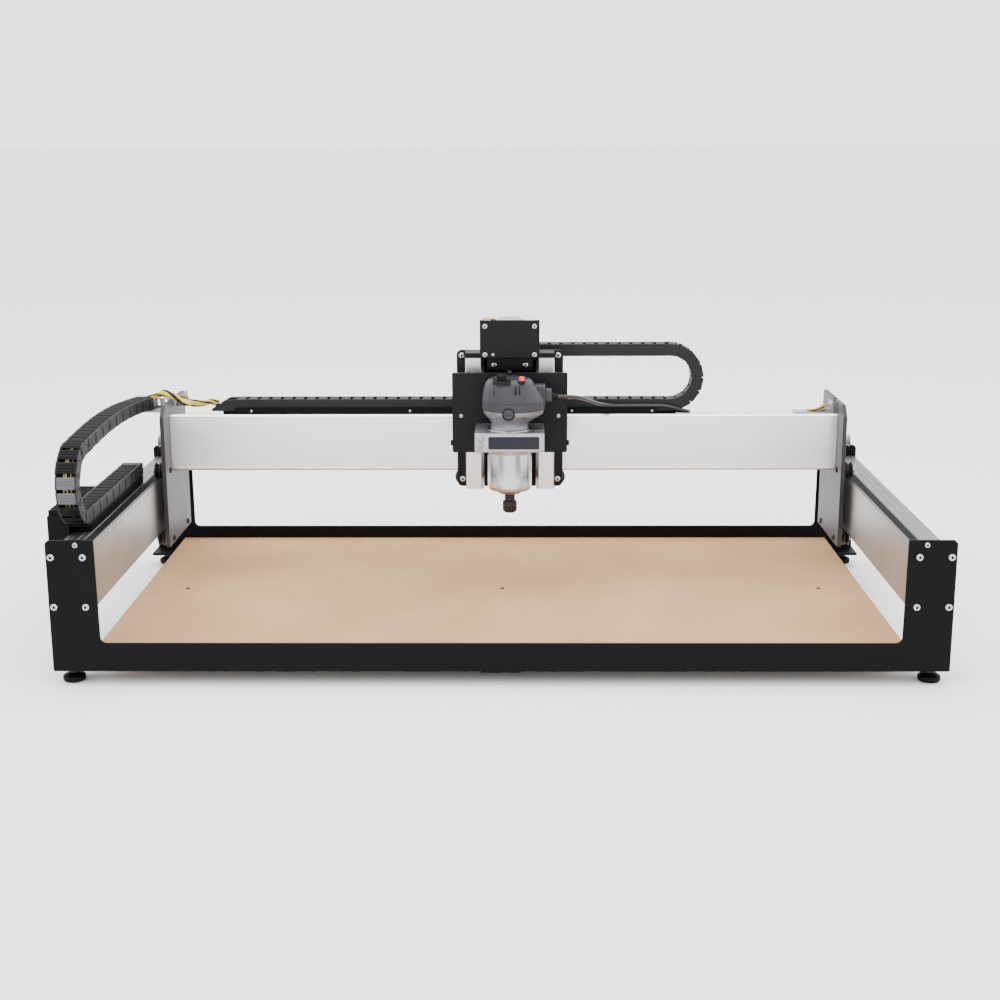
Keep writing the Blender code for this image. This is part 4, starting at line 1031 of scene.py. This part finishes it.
def build_z_drive():
    left, right = CAR_X - COVER_X, CAR_X + COVER_X
    (y0, y1), (z0, z1) = COVER_Y, COVER_Z
    piece('motor_cover_front', boxes(((left, right), (y0, y0 + 3), (z0, z1))), 'coat_fine', 'carriage',
          'z_motor_cover', 1.4)
    shell = bmesh.new()
    floor = z0 + 3.5
    slope = [(y0 + 2, floor), (y1, floor), (y1, floor + 16), (y0 + 30, z1 - 12), (y0 + 6, z1), (y0 + 2, z1)]
    prism(shell, slope, 'X', (left, left + 3))
    prism(shell, slope, 'X', (right - 3, right))
    slab(shell, (left, right), (y0 + 2, y1), (floor, floor + 3.5))
    piece('motor_cover_walls', shell, 'coat_fine', 'carriage', (), 0.6)
    heads = bmesh.new()
    for side in (-1, 1):
        for z in (z0 + 5.5, z1 - 9):
            screw(heads, 'Y', -1, (CAR_X + side * (COVER_X - 7.5), y0, z), 3.9, 2.2)
        screw(heads, 'Z', 1, (CAR_X + side * (COVER_X - 7.5), y0 + 7, z1 - 1), 3.2, 1.2)
    screw(heads, 'Y', -1, (CAR_X - 24, y0, z0 + 5.5), 2.2, 0.8)
    piece('motor_cover_screws', heads, 'screw', 'carriage')
    half = 25.0
    spans = ((CAR_X - half, CAR_X + half), (SCREW_Y - half, SCREW_Y + half), (z0 + 7.6, 419.0))
    build_motor('z_drive', 'Z', spans, 'carriage', 'z_motor', False)
    piece('z_drive_encoder', boxes(((CAR_X - 16.7, CAR_X + 16.7), (SCREW_Y - 12, SCREW_Y + 24),
                                    (417, 422.6))), 'cap', 'carriage', (), 1.2)
    for look, lane in (('yellow', 0.0), ('yellow', 2.8), ('black', 5.4)):
        wires = bmesh.new()
        route = [(-8 - lane, 390, 418.5), (-12 - lane, 384, 422.0), (-19 - lane, 377, 422.8),
                 (-25 - lane / 2, 380, 420.5), (-27, 391 + lane, 412), (-26, 406, 402 - lane)]
        sweep(wires, smooth_route(route, 6), 1.1, 7)
        piece(f'z_drive_wire_{look}_{round(lane)}', wires, look, 'carriage')
    build_leadscrew()


def build_leadscrew():
    """Threaded rod: the ring radius follows a helix of the thread's lead."""
    low, high, lead = 183.0, 376.0, 4.0
    rings, sides = 290, 20
    shell = bmesh.new()
    profile = [(4.0, low + (high - low) * i / rings) for i in range(rings + 1)]

    def thread(reach, turn, travel):
        phase = (travel / lead - turn / math.tau) % 1.0
        return reach - 0.75 * min(1.0, max(0.0, 2.6 * (1 - abs(2 * phase - 1)) - 0.6))

    place = [(0, low)] + profile + [(0, high)]
    lathe(shell, place, 'Z', (CAR_X, SCREW_Y, 0), sides, lambda r, t, z: thread(r, t, z) if r > 0 else r)
    piece('leadscrew_thread', shell, 'steel', 'leadscrew_body', 'leadscrew', angle=50)


# ---- Z slide and router --------------------------------------------------------------------------------
def build_z_slide():
    piece('z_sheet', filled(prism, rounded((CAR_X - ZP_HALF, CAR_X + ZP_HALF), ZP_Z, 2.5, 3), 'Y', ZP_Y),
          'coat_fine', 'z_slide_body', 'z_plate', 0.6)
    sliders = bmesh.new()
    for side in (-1, 1):
        middle = CAR_X + side * COLUMN_X
        slab(sliders, (middle - 12, middle + 12), (ZP_Y[1] - 0.5, COLUMN_Y[0] - 0.3), (240, 340))
        lathe(sliders, [(0, 0), (4.2, 0), (4.2, 2.2), (3.4, 3.0), (0, 3.0)] if side > 0 else
              [(0, 0), (4.2, 0), (4.2, -2.2), (3.4, -3.0), (0, -3.0)], 'X',
              (CAR_X + side * ZP_HALF, 353, 245), 24)
    piece('z_sliders', sliders, 'black', 'z_slide_body', (), 0.8)
    heads = bmesh.new()
    for side in (-1, 1):
        screw(heads, 'Y', -1, (CAR_X + side * 70.5, ZP_Y[0], 285.0), 3.0, 1.6)
    piece('z_plate_screws', heads, 'screw', 'z_slide_body')
    nut = piece('screw_nut', boxes(((CAR_X - 15, CAR_X + 15), (ZP_Y[1] + 0.3, 400), (280, 304))), 'brass',
                'z_slide_body', 'leadscrew_nut', 1.0)
    carve(nut, [(lathe, sleeve(0, 4.5, 270, 310), 'Z', (CAR_X, SCREW_Y, 0), 32)])
    build_clamp()
    build_router()


def build_clamp():
    z0, z1 = CLAMP_Z
    clamp = piece('clamp_block', boxes(((CAR_X - CLAMP_HALF, CAR_X + CLAMP_HALF),
                                        (CLAMP_FRONT, ZP_Y[0] - 0.3), (z0, z1))), 'clamp', 'z_slide_body',
                  'router_clamp', 1.2)
    cutters = [(lathe, sleeve(0, BODY_R + 0.2, z0 - 5, z1 + 5), 'Z',
                               (CAR_X, ROUTER_Y, 0), 96),
               (slab, (CAR_X - 60, CAR_X - 25), (ROUTER_Y - 1.5, ROUTER_Y + 1.5), (z0 - 5, z1 + 5))]
    for step in range(3):
        y = 279 + 6.5 * step
        cutters.append((slab, (CAR_X - 60, CAR_X - 34), (y, y + 2), (z1 - 1.5, z1 + 4)))
        cutters.append((slab, (CAR_X + 34, CAR_X + 60), (y, y + 2), (z1 - 1.5, z1 + 4)))
    carve(clamp, cutters)
    heads = bmesh.new()
    for z in (255.6, 266.0):
        screw(heads, 'Y', -1, (CAR_X - 41.0, CLAMP_FRONT, z), 4.6, 2.8)
    piece('clamp_screws', heads, 'steel', 'z_slide_body')
    piece('clamp_panel', filled(prism, rounded((CAR_X - 30, CAR_X + 42), (251.5, 269.5), 2.2), 'Y',
                                (CLAMP_FRONT - 0.9, CLAMP_FRONT + 0.5)), 'panel', 'z_slide_body', (), 0.3)


def swell(reach, turn, height):
    """The collar and the head grow 11 mm towards the lead's side from the neck up."""
    rise = min(1.0, max(0.0, (height - 283.0) / 14.0)) * min(1.0, max(0.0, (336.0 - height) / 20.0))
    return reach + 11.0 * rise * max(0.0, math.cos(turn)) ** 2 if reach > 0 else reach


def build_router():
    axis = (CAR_X, ROUTER_Y, 0)
    shell = bmesh.new()
    lathe(shell, [(9.0, 190), (9.0, 186.5), (26.5, 186.5), (29.0, 187.0), (BODY_R - 0.8, 188.6),
                  (BODY_R - 0.2, 190.2), (BODY_R, 192.5), (BODY_R, 240), (BODY_R - 0.25, 240.5),
                  (BODY_R - 0.25, 241.5), (BODY_R, 242),
                  (BODY_R, 274), (BODY_R - 1, 275.3), (25, 276.3), (9.0, 276.3)], 'Z', axis, 128)
    piece('router_barrel', shell, 'polished', 'z_slide_body', 'router_body')
    shell = bmesh.new()
    lathe(shell, [(8.6, 180.0), (12.5, 180.0), (15.0, 180.8), (18.5, 183.2), (20.5, 185.4), (21.0, 187),
                  (8.6, 187)], 'Z', axis, 96)
    piece('router_nose', shell, 'cast', 'z_slide_body')
    shell = bmesh.new()
    lathe(shell, [(0, 275.8), (27.5, 275.8), (26.3, 277.5), (25.6, 280), (26.2, 284), (29.3, 289),
                  (33.6, 293.6),
                  (36.2, 296.6), (37.2, 299), (37.6, 303.8), (0, 303.8)], 'Z', axis, 96, swell)
    collar = piece('router_collar', shell, 'cast', 'z_slide_body')
    slots = []
    for turn in (-0.95, -0.62, 0.62, 0.95, 2.2, 2.5, -2.2, -2.5):
        x = CAR_X + 37 * math.sin(turn)
        y = ROUTER_Y - 37 * math.cos(turn)
        slots.append((slab, (x - 2.6, x + 2.6), (y - 4, y + 4), (294.5, 296.6)))
    carve(collar, slots)
    build_router_head(axis)
    piece('router_shaft', filled(lathe, sleeve(0, 7.4, 165, 190), 'Z', axis, 48), 'nut', 'spindle_body',
          'spindle')
    shell = bmesh.new()
    lathe(shell, [(3.2, 152.6), (7.6, 152.6), (9.4, 153.8), (10.3, 155.5), (10.3, 167.3), (9.6, 168.8),
                  (7.4, 170)],
          'Z', axis, 64, lambda r, turn, z: r - (0.9 if r > 9 and (turn * 3 / math.pi) % 1 < 0.3 else 0.0))
    piece('collet_nut', shell, 'nut', 'spindle_body')
    piece('collet', filled(lathe, [(3.15, 154.5), (4.2, 151.9), (6.6, 151.9), (6.6, 156)], 'Z', axis, 48),
          'steel', 'spindle_body')


def build_router_head(axis):
    low, high = HEAD_LOW, HEAD_TOP
    shell = bmesh.new()
    lathe(shell, [(0, low), (38.6, low), (39.2, low + 0.8), (39.2, 314.5), (38.7, 315), (38.7, 315.8),
                  (39.2, 316.3), (38.2, 326.5), (36.6, 334.5), (35.9, 336.5), (33.4, 341.6), (29.4, 345.6),
                  (25.0, 347.4), (19, high - 0.3), (0, high)], 'Z', axis, 128, swell)
    head = piece('head_shell', shell, 'grey', 'z_slide_body', 'router_head')
    cutters = []
    for x in (-10.5, 19.5, 25.0):
        cutters.append((slab, (x - 1.1, x + 1.1), (ROUTER_Y - 50, ROUTER_Y - 28), (328.5, 340.5)))
    for k in range(5):
        x = -13 + 12 * k
        cutters.append((slab, (x - 1.0, x + 1.0), (ROUTER_Y + 31, ROUTER_Y + 50), (324, 343)))
    cutters.append((slab, (-13, 13), (ROUTER_Y - 36, ROUTER_Y - 17), (342.8, 360)))
    carve(head, cutters)
    side = ROUTER_Y + BOSS_BACK
    shell = bmesh.new()
    prism(shell, rounded((side - 11.5, side + 11.5), (BOSS_Z - 11, BOSS_Z + 18), 4.0), 'X', (32, 62))
    prism(shell, rounded((side - 8.5, side + 8.5), (BOSS_Z - 7, BOSS_Z + 12), 4.0), 'X', (61, 71))
    prism(shell, rounded((side - 12.5, side + 12.5), (low + 1, BOSS_Z), 5.0), 'X', (36, 61))
    piece('lead_boss', shell, 'grey', 'z_slide_body', (), 1.6)
    build_brush_caps()
    shell = bmesh.new()
    lathe(shell, [(0, 70), (6.2, 70), (6.2, 72)] + strain_ribs(72, 79.5, 5.6, 4.2) + [(3.4, 80), (0, 80)],
          'X',
          (0, side, BOSS_Z), 40)
    piece('strain_relief', shell, 'black', 'z_slide_body')
    shell = bmesh.new()
    slab(shell, (-12.6, 12.6), (ROUTER_Y - 35.2, ROUTER_Y - 32.2), (342.9, 347.2))
    prism(shell, [(ROUTER_Y - 35, 346), (ROUTER_Y - 32, 346), (ROUTER_Y - 20, 350), (ROUTER_Y - 24, 350)],
          'X',
          (-12.6, -8.2))
    piece('dial_window', shell, 'black', 'z_slide_body', (), 0.6)
    piece('switch_bezel', filled(lathe, [(0, 0), (5.4, 0), (5.4, 3.0), (4.9, 3.6), (0, 3.6)], 'Z',
                                 (SWITCH_X, DIAL_Y, 343.8), 40), 'black', 'z_slide_body')
    shell = bmesh.new()
    lathe(shell, [(0, 345.2), (4.0, 345.2), (4.2, 350.8), (3.7, 352.4), (2.4, 353.2), (0, 353.5)], 'Z',
          (SWITCH_X, DIAL_Y, 0), 40)
    piece('switch_button', shell, 'red', 'power_switch_body', 'power_switch')
    piece('dial_wheel', filled(toothed, 'X', (0, DIAL_Y, 352), 30, 5.2, 4.8, (-6.4, 6.4), 1.5), 'black',
          'speed_dial_body', 'speed_dial', angle=20)


def strain_ribs(start, end, thick, thin):
    """Profile of a tapered, ribbed strain relief between two stations on the axis."""
    ribs = 6
    step = (end - start) / ribs
    profile = []
    for k in range(ribs):
        radius = thick + (thin - thick) * k / (ribs - 1)
        x = start + step * k
        profile += [(radius, x + 0.1), (radius, x + step * 0.62), (radius - 1.1, x + step * 0.68),
                    (radius - 1.1, x + step * 0.98)]
    return profile


def build_brush_caps():
    """Two round screw caps over the brushes, front and back, each with a slot."""
    caps = bmesh.new()
    rings = bmesh.new()
    for towards in (-1, 1):
        face = ROUTER_Y + towards * 34.0
        lathe(caps, [(0, 0), (7.0, 0), (7.0, towards * 6.6), (6.3, towards * 7.3), (0, towards * 7.3)], 'Y',
              (BRUSH_X, face, BRUSH_Z), 48)
        lathe(rings, [(7.3, 0), (9.0, 0), (9.0, towards * 5.8), (8.6, towards * 6.4), (7.7, towards * 6.4),
                      (7.3, towards * 5.8)], 'Y', (BRUSH_X, face, BRUSH_Z), 48)
    plugs = piece('brush_caps', caps, 'grey', 'z_slide_body')
    slots = []
    for near, far in ((-46.0, -40.4), (40.4, 46.0)):
        slots.append((slab, (CAR_X - 6.5, CAR_X + 3.5),
                                                        (ROUTER_Y + near, ROUTER_Y + far),
                                                        (BRUSH_Z - 0.7, BRUSH_Z + 0.7)))
    carve(plugs, slots)
    piece('brush_cap_rings', rings, 'black', 'z_slide_body')


def build_lead():
    """The router's lead, from its strain relief along the chain tray to the carriage."""
    path = smooth_route(CORD_ROUTE, 4)
    lead = piece('router_lead', filled(sweep, path, CORD_R, 16), 'lead', None, 'router_cord')
    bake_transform(lead)


# ---- room ----------------------------------------------------------------------------------------------
def build_camera():
    """Long lens a little above the machine, as the product view has it."""
    forward = Vector((math.cos(PITCH) * math.sin(YAW), math.cos(PITCH) * math.cos(YAW), -math.sin(PITCH)))
    level = Vector((math.cos(YAW), -math.sin(YAW), 0))
    upward = Vector((math.sin(PITCH) * math.sin(YAW), math.sin(PITCH) * math.cos(YAW), math.cos(PITCH)))
    right = math.cos(ROLL) * level - math.sin(ROLL) * upward
    up = math.sin(ROLL) * level + math.cos(ROLL) * upward
    data = bpy.data.cameras.new('camera')
    data.lens = LENS
    data.sensor_width = SENSOR
    camera = bpy.data.objects.new('camera', data)
    place = Matrix((right, up, -forward)).transposed().to_4x4()
    place.translation = at(*CAMERA_PLACE)
    camera.matrix_world = place
    bpy.context.scene.collection.objects.link(camera)
    bpy.context.scene.camera = camera


def build_light(name, energy, size, place, towards):
    data = bpy.data.lights.new(name, 'AREA')
    data.energy = energy
    data.shape = 'RECTANGLE'
    data.size, data.size_y = size
    lamp = bpy.data.objects.new(name, data)
    lamp.location = place
    lamp.rotation_euler = (Vector(towards) - Vector(place)).to_track_quat('-Z', 'Y').to_euler()
    bpy.context.scene.collection.objects.link(lamp)


def build_plane(name, corners, look):
    mesh = bpy.data.meshes.new(name)
    mesh.from_pydata(corners, [], [(0, 1, 2, 3)])
    thing = bpy.data.objects.new(name, mesh)
    bpy.context.scene.collection.objects.link(thing)
    mesh.materials.append(look)
    return thing


def plain(name, colour):
    material = bpy.data.materials.new(name)
    material.use_nodes = True
    shader = material.node_tree.nodes['Principled BSDF']
    shader.inputs['Base Color'].default_value = (*colour, 1)
    shader.inputs['Roughness'].default_value = 0.9
    shader.inputs['Specular IOR Level'].default_value = 0.0
    return material


def build_room():
    """White floor and sky, with a grey flag on each side that only shiny surfaces see."""
    half, drop = 60.0, -0.0005
    build_plane('floor', [(-half, -half, drop), (half, -half, drop), (half, half, drop),
                          (-half, half, drop)],
                plain('pale_floor', (0.92, 0.92, 0.92)))
    grey = plain('grey_flag', (0.26, 0.26, 0.26))
    for side in (-1, 1):
        near, far = FLAG_Y
        edges = ((near, 0.0), (far, 0.0), (far, FLAG_TOP), (near, FLAG_TOP))
        corners = [(side * FLAG_X, y, z) for y, z in edges]
        flag = build_plane(f'flag{side}', corners, grey)
        flag.visible_camera = False
        flag.visible_diffuse = False
        flag.visible_shadow = False
    world = bpy.data.worlds.new('studio')
    world.use_nodes = True
    world.node_tree.nodes['Background'].inputs['Color'].default_value = (1, 1, 1, 1)
    world.node_tree.nodes['Background'].inputs['Strength'].default_value = SKY
    bpy.context.scene.world = world
    build_light('overhead', 60, (3.0, 2.4), (0.0, 0.2, 2.6), (0, 0, 0.1))
    build_light('front_left', 40, (1.6, 1.6), (-2.0, -2.2, 1.9), (0, 0, 0.2))
    build_light('front_right', 25, (1.6, 1.6), (2.4, -1.8, 1.6), (0, 0, 0.2))


# the lead and the camera come first: the lead's route is shared with the CAD
build_camera()
build_lead()
build_frame()
build_chains()
build_gantry()
build_carriage()
build_z_slide()
build_room()
